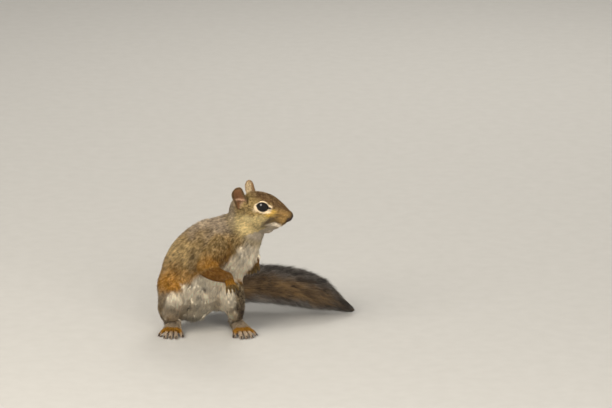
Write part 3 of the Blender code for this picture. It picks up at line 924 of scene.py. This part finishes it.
        # the mouth's line: bare dark lip skin, with painted shade for its slit
        gap, _ = alongFace(points, "mouth", sign, hideTree)
        paint("dark", own * bell(gap, 0.9), 0.0, own * ramp(0.9, 0.4, gap) * 0.7)
        gap, _, theta, rim = eyeAngles(points, side)
        lid = ramp(12, 10.5, gap)
        paint("eyeRing", lid * ramp(rim + 19, rim + 14, theta + 1.5 * fine), 0.0)
        gap, _ = alongFace(points, "tear", sign, hideTree)
        paint("dark", own * bell(gap, 0.7) * 0.7, 0.0)
        wide, high = face["eyeOpening"]
        corner = rim + 7 * np.abs((rim - high) / (wide - high + face["eyeCorner"])) ** 8
        bared = lid * ramp(corner + 3.5, corner + 2.0, theta)
        paint("lid", lid * ramp(corner + 4.0, corner + 2.5, theta), 0.0, bared)
        hole = onHead(*(np.array(face["nostril"]) * (1, sign, 1)))
        gap = np.linalg.norm(points - hole, axis=1)
        paint("nose", ramp(3.0, 1.8, gap), None, ramp(2.6, 1.6, gap))
    gap = np.linalg.norm((hide.onHead - face["noseTip"]) / (1.4, 1.2, 1.2), axis=1)
    paint("dark", ramp(6.0, 3.2, gap) * 0.7, 0.1)
    paint("nose", ramp(3.2, 2.2, gap), 0.0, ramp(2.6, 1.8, gap))

    # ears: dark inside with a pale band, furred behind
    for side, sign in sides.items():
        base, height, across, out, rise = earFrame(side)
        own = share("ear") * (aside * sign > 0)
        high = np.clip((points - base) @ rise / height, 0, 1)
        edge = np.abs((points - base) @ across - earMiddle(high, side)) / np.maximum(earHalf(high), 1)
        edge = np.maximum(ramp(0.55, 0.85, edge), ramp(0.88, 0.96, high))
        inside = own * ramp(-0.1, 0.25, normals @ out)
        paint("earBack", own, 0.35)
        paint("earPale", own * (1 - edge) * 0.8)
        paint("earInside", inside, 0.08)
        paint("earBand", inside * bell(up - 6.2 + 0.3 * fine, 0.9) * 0.9)
        paint("earBand", inside * bell(up - 1.6 + 0.3 * fine, 1.6) * ramp(-25, -22, ahead) * 0.7)
        paint("dark", inside * bell(up - 4.4, 0.6) * 0.6)
        paint("earRim", inside * edge * 0.9, None, inside * (1 - edge) * 0.9)

    # hands and feet: rusty on top, pale toes, bare soles, with painted highlight and painted shade on the
    # hands
    for side in sides:
        near = side == "right"
        wrist, down, _, _ = handAxes(side)
        reach, own = (points - wrist) @ down, share("hand_" + side)
        # painted highlight: brighter rust where the hands face up and forward, less of it on the far hand
        knuckles = ramp(0.0, 0.5, normals @ (0, -0.5, 0.8) + 0.2 * fine)
        paint("arm", own, 0.2)
        # painted shade: the far hand darker than the near one
        paint("crown", own * (0.0 if near else 0.6))
        paint("foot", own * ramp(1, 5, reach) * knuckles * (0.55 if near else 0.15))
        # painted shade: the finger ends darker
        paint("finger", own * ramp(9.0, 12.0, reach + 0.6 * fine) * 0.85)
        reach, aside = footReach(points, side)
        own = share("foot_" + side)
        paint("ankle", own, 0.18)
        paint("foot", own * ramp(31, 34, reach + wander), 0.15)
        paint("toe", own * ramp(42.0, 45.0, reach + 0.6 * fine), 0.05)
        # painted shade between the toes
        toeSpace = 3.5 + 2.6 * np.clip((reach - 34) / 18, 0, 1)
        offToe = np.abs(aside / toeSpace - np.round(aside / toeSpace)) * toeSpace
        paint("dark", own * ramp(38, 42, reach) * ramp(1.4, 2.0, offToe) * 0.8, 0.0)
    under = hide.normals[:, 2]
    paint("sole", share("foot") * ramp(-0.45, -0.75, under), None, share("foot") * ramp(-0.35, -0.7, under))

    # tail: brown in the middle, grey fringes above and below, dark at the tip
    index, middles, _, _ = nearestOn(points, tailLine, 8)
    paint("tailMiddle", tails)
    paint("tailTop", tails * ramp(0.50, 0.88, normals[:, 2] + 0.1 * wander))
    paint("tailUnder", tails * ramp(-0.2, -0.7, normals[:, 2] + 0.1 * wander))
    along = index / (len(middles) - 1)
    paint("tailTip", tails * ramp(0.52, 0.86, along))
    fringe = ramp(0.2, 0.8, np.abs(normals[:, 2])) * ramp(0.95, 0.80, along)
    tick = np.where(tails > 0.5, 0.15 + 0.8 * fringe, tick)
    colour *= (1 + 0.07 * wander + 0.05 * fine)[:, None]
    return colour, tick, bare, white


tint, ticking, bareness, belly = markings()


def writeAttribute(mesh, name, kind, values):
    attribute = mesh.attributes.new(name, kind, "POINT")
    field = {"FLOAT_COLOR": "color", "FLOAT_VECTOR": "vector"}.get(kind, "value")
    attribute.data.foreach_set(field, np.asarray(values, np.float32).ravel())


def opaque(colour):
    return np.column_stack((np.clip(colour, 0.004, 1), np.ones(len(colour))))


writeAttribute(skin.data, "tint", "FLOAT_COLOR", opaque(tint))
writeAttribute(skin.data, "bare", "FLOAT", bareness)
print("coat: markings")


# materials
class Wire:
    # a socket of a material; sums on it add Math nodes, and node() adds any other
    def __init__(self, tree, socket=None):
        self.tree = tree
        self.socket = socket

    def node(self, kind, settings=None, sockets=None, out=0):
        made = self.tree.nodes.new(kind)
        for key, value in (settings or {}).items():
            setattr(made, key, value)
        for key, value in (sockets or {}).items():
            if isinstance(value, Wire):
                self.tree.links.new(value.socket, made.inputs[key])
            else:
                made.inputs[key].default_value = value
        return Wire(self.tree, made.outputs[out])

    def output(self, number):
        return Wire(self.tree, self.socket.node.outputs[number])

    def sum(self, operation, *values):
        return self.node("ShaderNodeMath", {"operation": operation}, dict(enumerate(values)))

    def __add__(self, other):
        return self.sum("ADD", self, other)

    def __radd__(self, other):
        return self.sum("ADD", other, self)

    def __sub__(self, other):
        return self.sum("SUBTRACT", self, other)

    def __rsub__(self, other):
        return self.sum("SUBTRACT", other, self)

    def __mul__(self, other):
        return self.sum("MULTIPLY", self, other)

    def __rmul__(self, other):
        return self.sum("MULTIPLY", other, self)

    def ease(self, low, high):
        settings = {"interpolation_type": "SMOOTHSTEP"}
        return self.node("ShaderNodeMapRange", settings, {"Value": self, "From Min": low, "From Max": high})

    def mix(self, first, second, share):
        return self.node("ShaderNodeMix", {"data_type": "RGBA"}, {0: share, 6: first, 7: second}, 2)

    def scaled(self, share):
        # a colour made darker or lighter by a value
        return self.node("ShaderNodeVectorMath", {"operation": "SCALE"}, {0: self, "Scale": share})

    def attribute(self, name, out):
        return self.node("ShaderNodeAttribute", {"attribute_name": name}, out=out)

    def noise(self, scale, detail=2.0, stretch=(1, 1, 1)):
        where = self.node("ShaderNodeTexCoord", out=3)
        where = self.node("ShaderNodeMapping", {"vector_type": "POINT"}, {"Vector": where, "Scale": stretch})
        return self.node("ShaderNodeTexNoise", {}, {"Vector": where, "Scale": scale, "Detail": detail})

    def bump(self, height, strength, distance):
        return self.node("ShaderNodeBump", {}, {"Strength": strength, "Distance": distance, "Height": height})


def startMaterial(name, fixed):
    made = bpy.data.materials.new(name)
    made.use_nodes = True
    shader = made.node_tree.nodes["Principled BSDF"]
    for key, value in fixed.items():
        shader.inputs[key].default_value = value

    def feed(key, source):
        made.node_tree.links.new(source.socket, shader.inputs[key])

    return made, Wire(made.node_tree), feed


def startCoat(name, finish):
    # a coat's colour at the root, then along each tuft, by chance for each, and banding
    fixed = {"Specular IOR Level": finish["gloss"], "Sheen Weight": finish["sheen"]}
    made, wire, feed = startMaterial(name, fixed)
    along = wire.node("ShaderNodeSeparateXYZ", sockets={0: wire.attribute("strand", 1)})
    rough, change, size = finish["roughness"]
    feed("Roughness", rough + change * wire.noise(size))
    return made, wire, feed, wire.attribute("tint", 0), along, along.output(1), along.output(2)


hairFinish = {
    "rootShade": 0.50,  # how dark the under-fur is
    "dullest": 0.42,  # tone of the darkest lock
    "plainDullest": 1.02,
    "lively": 0.85,  # how much lighter the palest lock is
    "plainLift": 0.8,  # how far fur without bands stays pale to its roots
    "tickPale": (1.0, 0.80, 0.47, 1),
    "tickDark": (0.040, 0.028, 0.018, 1),
    "gloss": 0.12,
    "sheen": 0.04,
    "roughness": (0.58, 0.12, 900),  # lowest, change and grain
}


def coatMaterial(finish):
    made, wire, feed, tone, along, chance, tick = startCoat("coat", finish)
    shade = finish["rootShade"] + (1 - finish["rootShade"]) * along.ease(0.05, 0.7)
    plain = wire.sum("MAXIMUM", 1 - tick * 2.0, 0.0) * finish["plainLift"]
    shade = shade + (1 - shade) * plain
    dullest = finish["dullest"] + (finish["plainDullest"] - finish["dullest"]) * plain
    base = tone.scaled(shade * (dullest + finish["lively"] * chance * (1 - 0.5 * plain)))
    # banded hairs: some end pale and some end dark
    pale = along.ease(0.40, 0.60) * chance.ease(0.60, 0.66) * tick
    dark = along.ease(0.30, 0.60) * (1 - chance.ease(0.28, 0.36)) * tick
    base = wire.mix(base, wire.mix(finish["tickPale"], tone.scaled(1.9), 0.55), pale)
    feed("Base Color", wire.mix(base, finish["tickDark"], dark))
    return made


tailFinish = {
    "ochre": (0.33, 0.20, 0.078, 1),
    "band": (0.030, 0.024, 0.020, 1),
    "tip": (0.30, 0.27, 0.23, 1),
    "gloss": 0.18,
    "sheen": 0.04,
    "roughness": (0.55, 0.1, 700),
}


def tailMaterial(finish):
    made, wire, feed, tone, along, chance, fringe = startCoat("tail coat", finish)
    base = tone.scaled((0.45 + 0.75 * along.ease(0.0, 0.5)) * (0.30 + 1.4 * chance))
    base = wire.mix(base, finish["ochre"], chance.ease(0.60, 0.85) * (1 - fringe) * 0.8)
    # each long hair is brown, then black, then pale at its end
    black = along.ease(0.55, 0.68) * (1 - along.ease(0.76, 0.88)) * (1 - chance.ease(0.3, 0.7) * 0.6)
    base = wire.mix(base, finish["band"], black * 0.62)
    end = along.ease(0.76, 0.92) * fringe * chance.ease(0.35, 0.75)
    feed("Base Color", wire.mix(base, finish["tip"], end))
    return made


skinFinish = {
    "underFur": 0.62,  # how dark the skin is where fur grows
    "furRoughness": 0.85,
    "bareRoughness": 0.42,
    "pebbles": 1700,
    "bump": (0.35, 0.0004),
}


def skinMaterial(finish):
    made, wire, feed = startMaterial("skin", {"Specular IOR Level": 0.35})
    bare = wire.attribute("bare", 2)
    shade = finish["underFur"] + (1 - finish["underFur"]) * bare
    feed("Base Color", wire.attribute("tint", 0).scaled(shade * (0.85 + 0.3 * wire.noise(420, 3.0))))
    feed("Roughness", finish["furRoughness"] + (finish["bareRoughness"] - finish["furRoughness"]) * bare)
    where = wire.node("ShaderNodeTexCoord", out=3)
    cells = {"Vector": where, "Scale": finish["pebbles"]}
    pebbles = wire.node("ShaderNodeTexVoronoi", {"feature": "F1"}, cells)
    feed("Normal", wire.bump(pebbles * 0.4 + wire.noise(1500) * 0.6, *finish["bump"]))
    return made


smallFinishes = {
    # two colours, gloss, lowest roughness and its change
    "eye glass": ((0.003, 0.003, 0.003, 1), (0.010, 0.006, 0.004, 1), {"IOR": 1.52}, 0.05, 0.03),
    "claw horn": ((0.10, 0.065, 0.045, 1), (0.020, 0.014, 0.011, 1), {"Specular IOR Level": 0.5}, 0.28, 0.2),
    "whiskers": ((0.015, 0.011, 0.009, 1), (0.10, 0.08, 0.06, 1), {"Specular IOR Level": 0.5}, 0.35, 0.1),
    "floor": ((0.50, 0.485, 0.45, 1), (0.56, 0.545, 0.51, 1), {"Specular IOR Level": 0.2}, 0.8, 0.1),
}


def smallMaterial(name):
    first, second, fixed, rough, change = smallFinishes[name]
    made, wire, feed = startMaterial(name, fixed)
    if name == "eye glass":  # a dark pupil in a barely lighter brown iris
        grain = wire.noise(900, 1.0)
        base = wire.mix(first, second, (wire.noise(260) * 0.6 + grain * 0.4).ease(0.4, 0.7))
    elif name == "claw horn":
        grain = wire.noise(800, 2.0, (1, 1, 3))
        base = wire.mix(first, second, wire.attribute("along", 2).ease(0.0, 0.45)).scaled(0.8 + 0.4 * grain)
        feed("Normal", wire.bump(grain, 0.15, 0.0002))
    elif name == "whiskers":
        grain = wire.noise(500)
        base = wire.mix(first, second, wire.attribute("along", 2).ease(0.3, 1.0))
    else:
        grain = wire.noise(60, 4.0)
        base = wire.mix(first, second, grain)
    feed("Base Color", base)
    feed("Roughness", rough + change * grain)
    return made


dress(skin, skinMaterial(skinFinish), "back_coat", *fleshNodes)

# eyes, claws and whiskers
eyeFinish, hornFinish = smallMaterial("eye glass"), smallMaterial("claw horn")
whiskerFinish = smallMaterial("whiskers")
for side in sides:
    bm = bmesh.new()
    addBead(bm, eyePlace[side], (eyeRadius,) * 3, 4)
    dress(addPiece("eyeball_" + side, bm), eyeFinish, "eye_glass", "eye_" + side)


def addSpike(bm, root, way, droop, length, radius, corners, steps, tipShare):
    # a bent cone, as a claw or a whisker is
    layer = bm.verts.layers.float.get("along") or bm.verts.layers.float.new("along")
    shares = [step / steps for step in range(steps + 1)]
    known = set(bm.verts)
    places = [root + way * length * t + droop * length * t * t for t in shares]
    addTube(bm, places, [radius * (1 - (1 - tipShare) * t**1.3) for t in shares], corners)
    for vert in bm.verts:
        if vert not in known:
            vert[layer] = float(np.clip((np.array(vert.co) - root) @ unit(way + droop) / length, 0, 1))


def addSpikes(name, bm, finish):
    bmesh.ops.recalc_face_normals(bm, faces=bm.faces)
    dress(addPiece(name, bm), finish, "claw_horn")


clawPlan = {
    "lift": 0.10,
    "sunk": 1.4,
    "droop": -0.42,
    "shape": (8, 6, 0.12),  # corners, steps and share of the width left at the tip
}
clawBeds = {}
for root, way, length, radius, limb in clawRoots:
    bm = clawBeds.setdefault(limb, bmesh.new())
    way = unit(way + np.array((0, 0, clawPlan["lift"])))
    droop = np.array((0, 0, clawPlan["droop"]))
    addSpike(bm, root - way * clawPlan["sunk"], way, droop, length, radius, *clawPlan["shape"])
for limb, bm in clawBeds.items():
    addSpikes("claws_" + limb, bm, hornFinish)

whiskerPlan = {
    "rows": ((21, 6, -9), (18.5, 7, -11), (16, 8, -12.5), (20.5, 6, -13.5), (17, 7.5, -15.5)),
    "length": (24, 36),
    "sunk": 0.5,
    "shape": (0.14, 4, 5, 0.25),  # radius, then as the claws'
}
draw = np.random.default_rng(21)
for side, sign in sides.items():
    bm = bmesh.new()
    for a, s, u in whiskerPlan["rows"]:
        for step in range(2):
            spot, normal, _, _ = nearest(hideTree, onHead(a - 2.2 * step, s * sign, u + 0.6 * step))
            onward = -0.30 - 0.14 * step + draw.uniform(-0.1, 0.1)
            way = unit(np.array((onward, sign, draw.uniform(-0.28, 0.30)))) @ headAxes
            droop = np.array((-0.22, 0, -0.12 + draw.uniform(-0.06, 0.06))) @ headAxes
            length = draw.uniform(*whiskerPlan["length"])
            root = spot - normal * whiskerPlan["sunk"]
            addSpike(bm, root, way, droop, length, *whiskerPlan["shape"])
    addSpikes("whiskers_" + side, bm, whiskerFinish)
print("eyes, claws and whiskers")

# coat
coatPlan = {
    "share": 1.0,  # of the full number of tufts
    "mostFaces": 190000,  # triangles in one piece
    "patch": 0.003,  # size of a tuft on the coat's map
    "mapFaces": 8000,  # faces of the skin's copy that the map unwraps
    "lengths": (0.72, 1.18),  # how the tufts' own lengths, widths and heights vary
    "widths": (0.75, 1.25),
    "heights": (0.50, 1.10),
    "sunk": 0.25,  # how far the roots start under the skin
    "middle": (0.48, 0.70),  # where a tuft's middle is, as shares of its length and of its height
    "floorGap": 0.15,
    "tailEdge": (-7.0, 10.5),  # how deep in the tail's edge the hair ends, and how much further out some end
    "lockSpace": {"back": 6, "belly": 12, "tail": 20},  # tufts that share one lock
    "bellyClump": 0.75,
    "lean": (0.6, 0.3),  # how near the tips of a lock come to each other, and to lying the same way
    "lockReach": 0.6,  # how far off a lock's leader may be, as a share of the tuft's length
    "tailBow": 0.09,  # how far a long hair bends outward, as a share of its length
    "tailTaper": 0.6,  # how far the last hairs draw together
    "tailPoint": (90, 104, 43.6, 1.6),  # where the last hairs run out in a point, and its y and z
    "taper": 0.42,  # low for a strand that keeps its width nearly to the tip
    "lockChance": (0.70, 0.88),  # how alike the hairs of a lock are in tone, on the body and on the tail
    "strays": 0.04,  # share of body hairs that stand out
}
regions = {
    # piece: nodes, slot
    "head": (("head",), "face_coat"),
    "ears": (("ear",), "face_coat"),
    "neck": (("neck",), "back_coat"),
    "back": (("chest", "abdomen"), "back_coat"),
    "belly": ((), "belly_coat"),
    "arms": (("upper_arm", "forearm"), "rusty_coat"),
    "thighs": (("thigh",), "rusty_coat"),
    "shins": (("shin",), "back_coat"),
    "paws": (("hand", "foot"), "rusty_coat"),
    "tail": (("tail",), "tail_coat"),
}
draw = np.random.default_rng(5)


def hairFields():
    # the length, width, number and height of hairs, where they differ from their node's
    ahead, _, up = hide.onHead.T
    head, tails, ears = hide.share("head"), hide.share("tail"), hide.share("ear")
    toNose = ramp(0, 24, ahead) * head
    length = hairLength * (1 - 0.62 * toNose)
    width = hairWidth * (1 - 0.28 * toNose)
    count = hairCount * (1 + 0.35 * toNose)
    length *= 1 - 0.25 * ramp(-26, -10, ahead) * ramp(-6, 6, up) * head
    index, samples, _, _ = nearestOn(hide.points, tailLine, 8)
    left = np.append(np.cumsum(np.linalg.norm(np.diff(samples, axis=0), axis=1)[::-1])[::-1], 0)[index]
    length = np.where(tails > 0.3, np.minimum(length, 9 + 0.75 * left), length)
    height = np.where(ears > 0.4, 0.6, hide.height)
    height = np.where(hide.share("foot", "hand") > 0.5, np.clip(height, 0.3, 0.9), height)
    noHair = ramp(0.35, 0.6, bareness)
    bald = np.where(ears > 0.3, 0.55 * noHair, noHair)
    for side in sides:
        gap, _, theta, rim = eyeAngles(hide.points, side)
        byEye = ramp(13.5, 9.0, gap) * head
        length *= 1 - 0.62 * byEye
        width *= 1 - 0.25 * byEye
        height *= 1 - 0.70 * byEye
        count *= 1 + 0.3 * byEye
        bald[(gap < 11) & (theta < rim + 3.5)] = 1
    height = np.clip(height, 0.25, 0.62 * length)
    onBelly = belly * (1 - tails)
    hanging = ramp(-0.1, -0.6, hide.soft[:, 2]) * (hide.points[:, 2] < 60)
    length *= 1 + 0.15 * onBelly + 0.5 * onBelly * hanging
    for side in sides:
        instep = hide.share("foot_" + side) * ramp(34, 26, footReach(hide.points, side)[0])
        length += (hair["shin"][0] + 1.5 - hair["foot"][0]) * instep
        width += (hair["shin"][1] - hair["foot"][1]) * instep
        height = np.where(instep > 0.2, np.maximum(height, 1.9 * instep), height)
    return length, width, count * (1 - bald), height


tuftLength, tuftWidth, tuftCount, tuftHeight = hairFields()


def pickRoots():
    # three corners of a face and their shares, for each tuft
    mesh = skin.data
    mesh.calc_loop_triangles()
    corners = readValues(mesh.loop_triangles, "vertices", 3, np.int32)
    a, b, c = hide.points[corners].transpose(1, 0, 2)
    area = np.linalg.norm(np.cross(b - a, c - a), axis=1) / 2
    wanted = area * tuftCount[corners].mean(1)
    total = int(wanted.sum() * coatPlan["share"])
    chosen = draw.choice(len(corners), total, p=wanted / wanted.sum())
    first, second = draw.random((2, total))
    over = first + second > 1
    first[over], second[over] = 1 - first[over], 1 - second[over]
    return corners[chosen], np.stack((1 - first - second, first, second), 1)


rootCorners, rootShares = pickRoots()


def atRoots(values):
    return np.einsum("nk,nk...->n...", rootShares, np.asarray(values, float)[rootCorners])


def mapOfRoots(roots):
    # where each root lies on an unwrap of a coarse copy of the skin
    proxy = addObject("proxy", skin.data.copy())
    coarse = proxy.modifiers.new("coarse", "DECIMATE")
    coarse.ratio = coatPlan["mapFaces"] / len(proxy.data.polygons)
    settle(proxy)
    bpy.context.view_layer.objects.active = proxy
    bpy.ops.object.select_all(action="DESELECT")
    proxy.select_set(True)
    bpy.ops.object.mode_set(mode="EDIT")
    bpy.ops.mesh.select_all(action="SELECT")
    bpy.ops.mesh.quads_convert_to_tris()
    bpy.ops.uv.smart_project(angle_limit=math.radians(70), island_margin=0.003)
    bpy.ops.object.mode_set(mode="OBJECT")
    mesh = proxy.data
    uvs = readValues(mesh.uv_layers.active.data, "uv", 2).reshape(-1, 3, 2)
    corners = readPoints(mesh)[readValues(mesh.loops, "vertex_index", 1, np.int32).reshape(-1, 3)]
    tree = treeOf(mesh)
    bpy.data.objects.remove(proxy)
    index = np.array([nearest(tree, root)[2] for root in roots])
    a, b, c = corners[index].transpose(1, 0, 2)
    u, v, w = b - a, c - a, roots - a
    uu, uv, vv, wu, wv = ((x * y).sum(1) for x, y in ((u, u), (u, v), (v, v), (w, u), (w, v)))
    under = np.maximum(uu * vv - uv * uv, 1e-9)
    second = np.clip((vv * wu - uv * wv) / under, 0, 1)
    third = np.clip((uu * wv - uv * wu) / under, 0, 1)
    shares = np.stack((np.clip(1 - second - third, 0, 1), second, third), 1)
    return np.einsum("nk,nkd->nd", shares / shares.sum(1, keepdims=True), uvs[index])


roots = atRoots(hide.points)
rootNormals = unit(atRoots(hide.soft))
rootSkinNormals = unit(atRoots(hide.normals))
rootLie = unit(atRoots(hairLie) + draw.normal(size=roots.shape) * atRoots(hairShake)[:, None])
rootLie = flattened(rootLie, rootNormals)
lengths = atRoots(tuftLength) * draw.uniform(*coatPlan["lengths"], len(roots))
widths = atRoots(tuftWidth) * draw.uniform(*coatPlan["widths"], len(roots))
heights = atRoots(tuftHeight) * draw.uniform(*coatPlan["heights"], len(roots))
heights *= np.where(draw.random(len(roots)) < coatPlan["strays"], 1.5, 1.0)
owners = np.argmax(atRoots(hide.shares), axis=1)
isTail = np.array([fleshNodes[owner].startswith("tail") for owner in owners])
isWhite = (atRoots(belly) > 0.5) & ~isTail
rootMap = mapOfRoots(roots)
print("coat:", len(roots), "roots")


def onSkin(wanted, lift):
    # brought to the skin, then lifted off it
    placed = np.array(wanted)
    for number, place in enumerate(wanted):
        spot, normal, _, gap = nearest(hideTree, place)
        if gap < 6:
            placed[number] = spot + normal * lift[number]
    return placed


def strands():
    # the root, middle and tip of each tuft, and the root that leads its lock
    start = roots - rootSkinNormals * coatPlan["sunk"]
    level = np.sqrt(np.maximum(lengths**2 - heights**2, (0.3 * lengths) ** 2))
    onward, high = coatPlan["middle"]
    middle = roots + rootLie * (onward * level)[:, None] + rootNormals * (high * heights)[:, None]
    tip = roots + rootLie * level[:, None] + rootNormals * heights[:, None]
    body = np.flatnonzero(~isTail)
    middle[body] = onSkin(middle[body], high * heights[body])
    tip[body] = onSkin(tip[body], heights[body])
    # the long hair of the tail keeps to the tail's outer shape, apart from a few wisps
    index, stations, _, _ = nearestOn(tip, tailLine, 8)
    draws = coatPlan["tailTaper"] * ramp(0.72, 1.0, index / (len(stations) - 1)) * isTail
    tip += (stations[index] - (0, 0, 2.0) - tip) * draws[:, None]
    edge = coatPlan["tailEdge"][0] + coatPlan["tailEdge"][1] * draw.random(len(roots)) ** 0.8
    for number in np.flatnonzero(isTail):
        spot, normal, _, _ = nearest(outlineTree, tip[number])
        tip[number] -= normal * max(0.0, (tip[number] - spot) @ normal - edge[number])
    low, high, y, z = coatPlan["tailPoint"]
    last = ramp(low, high, tip[:, 0]) * isTail
    tip[:, 0] += last * (tip[:, 0] - low) * 0.30
    tip[:, 1:] += (last * 0.25)[:, None] * ((y, z) - tip[:, 1:])
    # neighbours lean together into locks
    kinds = {"back": ~isTail & ~isWhite, "belly": isWhite, "tail": isTail}
    spaces = coatPlan["lockSpace"].items()
    heads = np.concatenate([np.flatnonzero(kinds[kind])[::space] for kind, space in spaces])
    tree = KDTree(len(heads))
    for place, head in enumerate(heads):
        tree.insert(Vector(roots[head]), place)
    tree.balance()
    lock = heads[[tree.find(Vector(root))[1] for root in roots]]
    drift = (tip[lock] - roots[lock]) - (tip - roots)
    near = np.linalg.norm(roots[lock] - roots, axis=1) < coatPlan["lockReach"] * lengths
    together = (np.where(isWhite, coatPlan["bellyClump"], atRoots(hairClump)) * near)[:, None]
    closer, alongside = coatPlan["lean"]
    tip = tip + together * (tip[lock] - tip) * closer + alongside * together * drift
    bowed = (start + tip) / 2 + rootNormals * (coatPlan["tailBow"] * lengths)[:, None]
    middle = np.where(isTail[:, None], bowed, middle)
    for place in (middle, tip):
        place[:, 2] = np.maximum(place[:, 2], coatPlan["floorGap"])
    return start, middle, tip, lock


starts, middles, tips, locks = strands()
chance = draw.random(len(roots))
alike = np.where(isTail, coatPlan["lockChance"][1], coatPlan["lockChance"][0])
chance = (1 - alike) * chance + alike * draw.random(len(roots))[locks]
rootTint, rootTick = atRoots(tint), atRoots(ticking)


def tuftMesh(name, chosen, ringShares):
    # three-sided tapering tufts, all in one mesh
    start, middle, tip = starts[chosen], middles[chosen], tips[chosen]
    rings, count = len(ringShares), len(chosen)
    perTuft = 3 * rings + 1
    points = np.empty((count, perTuft, 3))
    along = np.append(np.repeat(ringShares, 3), 1.0)
    aim = unit(tip - start)
    aside = unit(np.cross(aim, rootNormals[chosen]))
    upward = np.cross(aside, aim)
    spin = draw.uniform(-0.5, 0.5, count)
    for ring, t in enumerate(ringShares):
        centre = start * (1 - t) ** 2 + 2 * t * (1 - t) * (2 * middle - (start + tip) / 2) + tip * t * t
        radius = 0.5 * widths[chosen] * (1 - t) ** coatPlan["taper"] * (1 if ring or rings == 1 else 0.8)
        for corner in range(3):
            angle = spin + corner * 2 * math.pi / 3 + math.pi / 2
            across = (np.cos(angle) * radius)[:, None] * aside
            across = across + (np.sin(angle) * radius * 0.7)[:, None] * upward
            points[:, 3 * ring + corner] = centre + across
    points[:, -1] = tip
    points[:, :, 2] = np.maximum(points[:, :, 2], 0.05)
    # the faces of one tuft: its foot, its sides and its end
    pattern = [(2, 1, 0)]
    end = 3 * rings
    for low in range(0, end, 3):
        for k in range(3):
            first, second = low + k, low + (k + 1) % 3
            pattern.append((first, second, second + 3, first + 3) if low + 3 < end else (first, second, end))
    flat = np.array([corner for face in pattern for corner in face])
    loops = (flat[None, :] + perTuft * np.arange(count)[:, None]).ravel()
    sizes = np.tile([len(face) for face in pattern], count)
    mesh = bpy.data.meshes.new(name)
    mesh.vertices.add(count * perTuft)
    mesh.loops.add(len(loops))
    mesh.polygons.add(len(sizes))
    mesh.vertices.foreach_set("co", (points * mm).astype(np.float32).ravel())
    mesh.loops.foreach_set("vertex_index", loops.astype(np.int32))
    mesh.polygons.foreach_set("loop_start", (np.cumsum(sizes) - sizes).astype(np.int32))
    mesh.update(calc_edges=True)
    # the map: a small patch for each tuft, at its root
    offset = np.stack((np.append(np.tile([0.0, 0.5, 1.0], rings), 0.5), along), 1) - 0.5
    uv = rootMap[chosen][:, None, :] + offset * coatPlan["patch"]
    layer = mesh.uv_layers.new(name="OFBake")
    layer.data.foreach_set("uv", uv.reshape(-1, 2)[loops].astype(np.float32).ravel())
    writeAttribute(mesh, "tint", "FLOAT_COLOR", np.repeat(opaque(rootTint[chosen]), perTuft, axis=0))
    own = np.repeat(np.stack((chance[chosen], rootTick[chosen]), 1), perTuft, axis=0)
    writeAttribute(mesh, "strand", "FLOAT_VECTOR", np.column_stack((np.tile(along, count), own)))
    return addObject(name, mesh)


finishes = {"body": coatMaterial(hairFinish), "tail": tailMaterial(tailFinish)}
ringPlaces = {"body": (0.0,), "tail": (0.0, 0.5)}
for region, (parts, slot) in regions.items():
    kind = "tail" if region == "tail" else "body"
    mine = np.array([name.startswith(parts) for name in fleshNodes])[owners] & ~isWhite
    chosen = np.flatnonzero(isWhite if region == "belly" else mine)
    rings = ringPlaces[kind]
    groups = max(1, math.ceil(len(chosen) * (6 * len(rings) - 2) / coatPlan["mostFaces"]))
    chosen = chosen[np.argsort(roots[chosen, 0], kind="stable")]
    for number, group in enumerate(np.array_split(chosen, groups)):
        name = "coat_" + region + ("_" + str(number + 1) if groups > 1 else "")
        dress(tuftMesh(name, np.sort(group), rings), finishes[kind], slot)
    print("coat:", region, len(chosen), "tufts", groups, "pieces")
bpy.data.objects.remove(outline)

bm = bmesh.new()
bmesh.ops.create_grid(bm, x_segments=2, y_segments=2, size=14000)
floor = addPiece("floor", bm)
floor.data.materials.append(smallMaterial("floor"))
floor.visible_glossy = False  # keeps the eyes dark
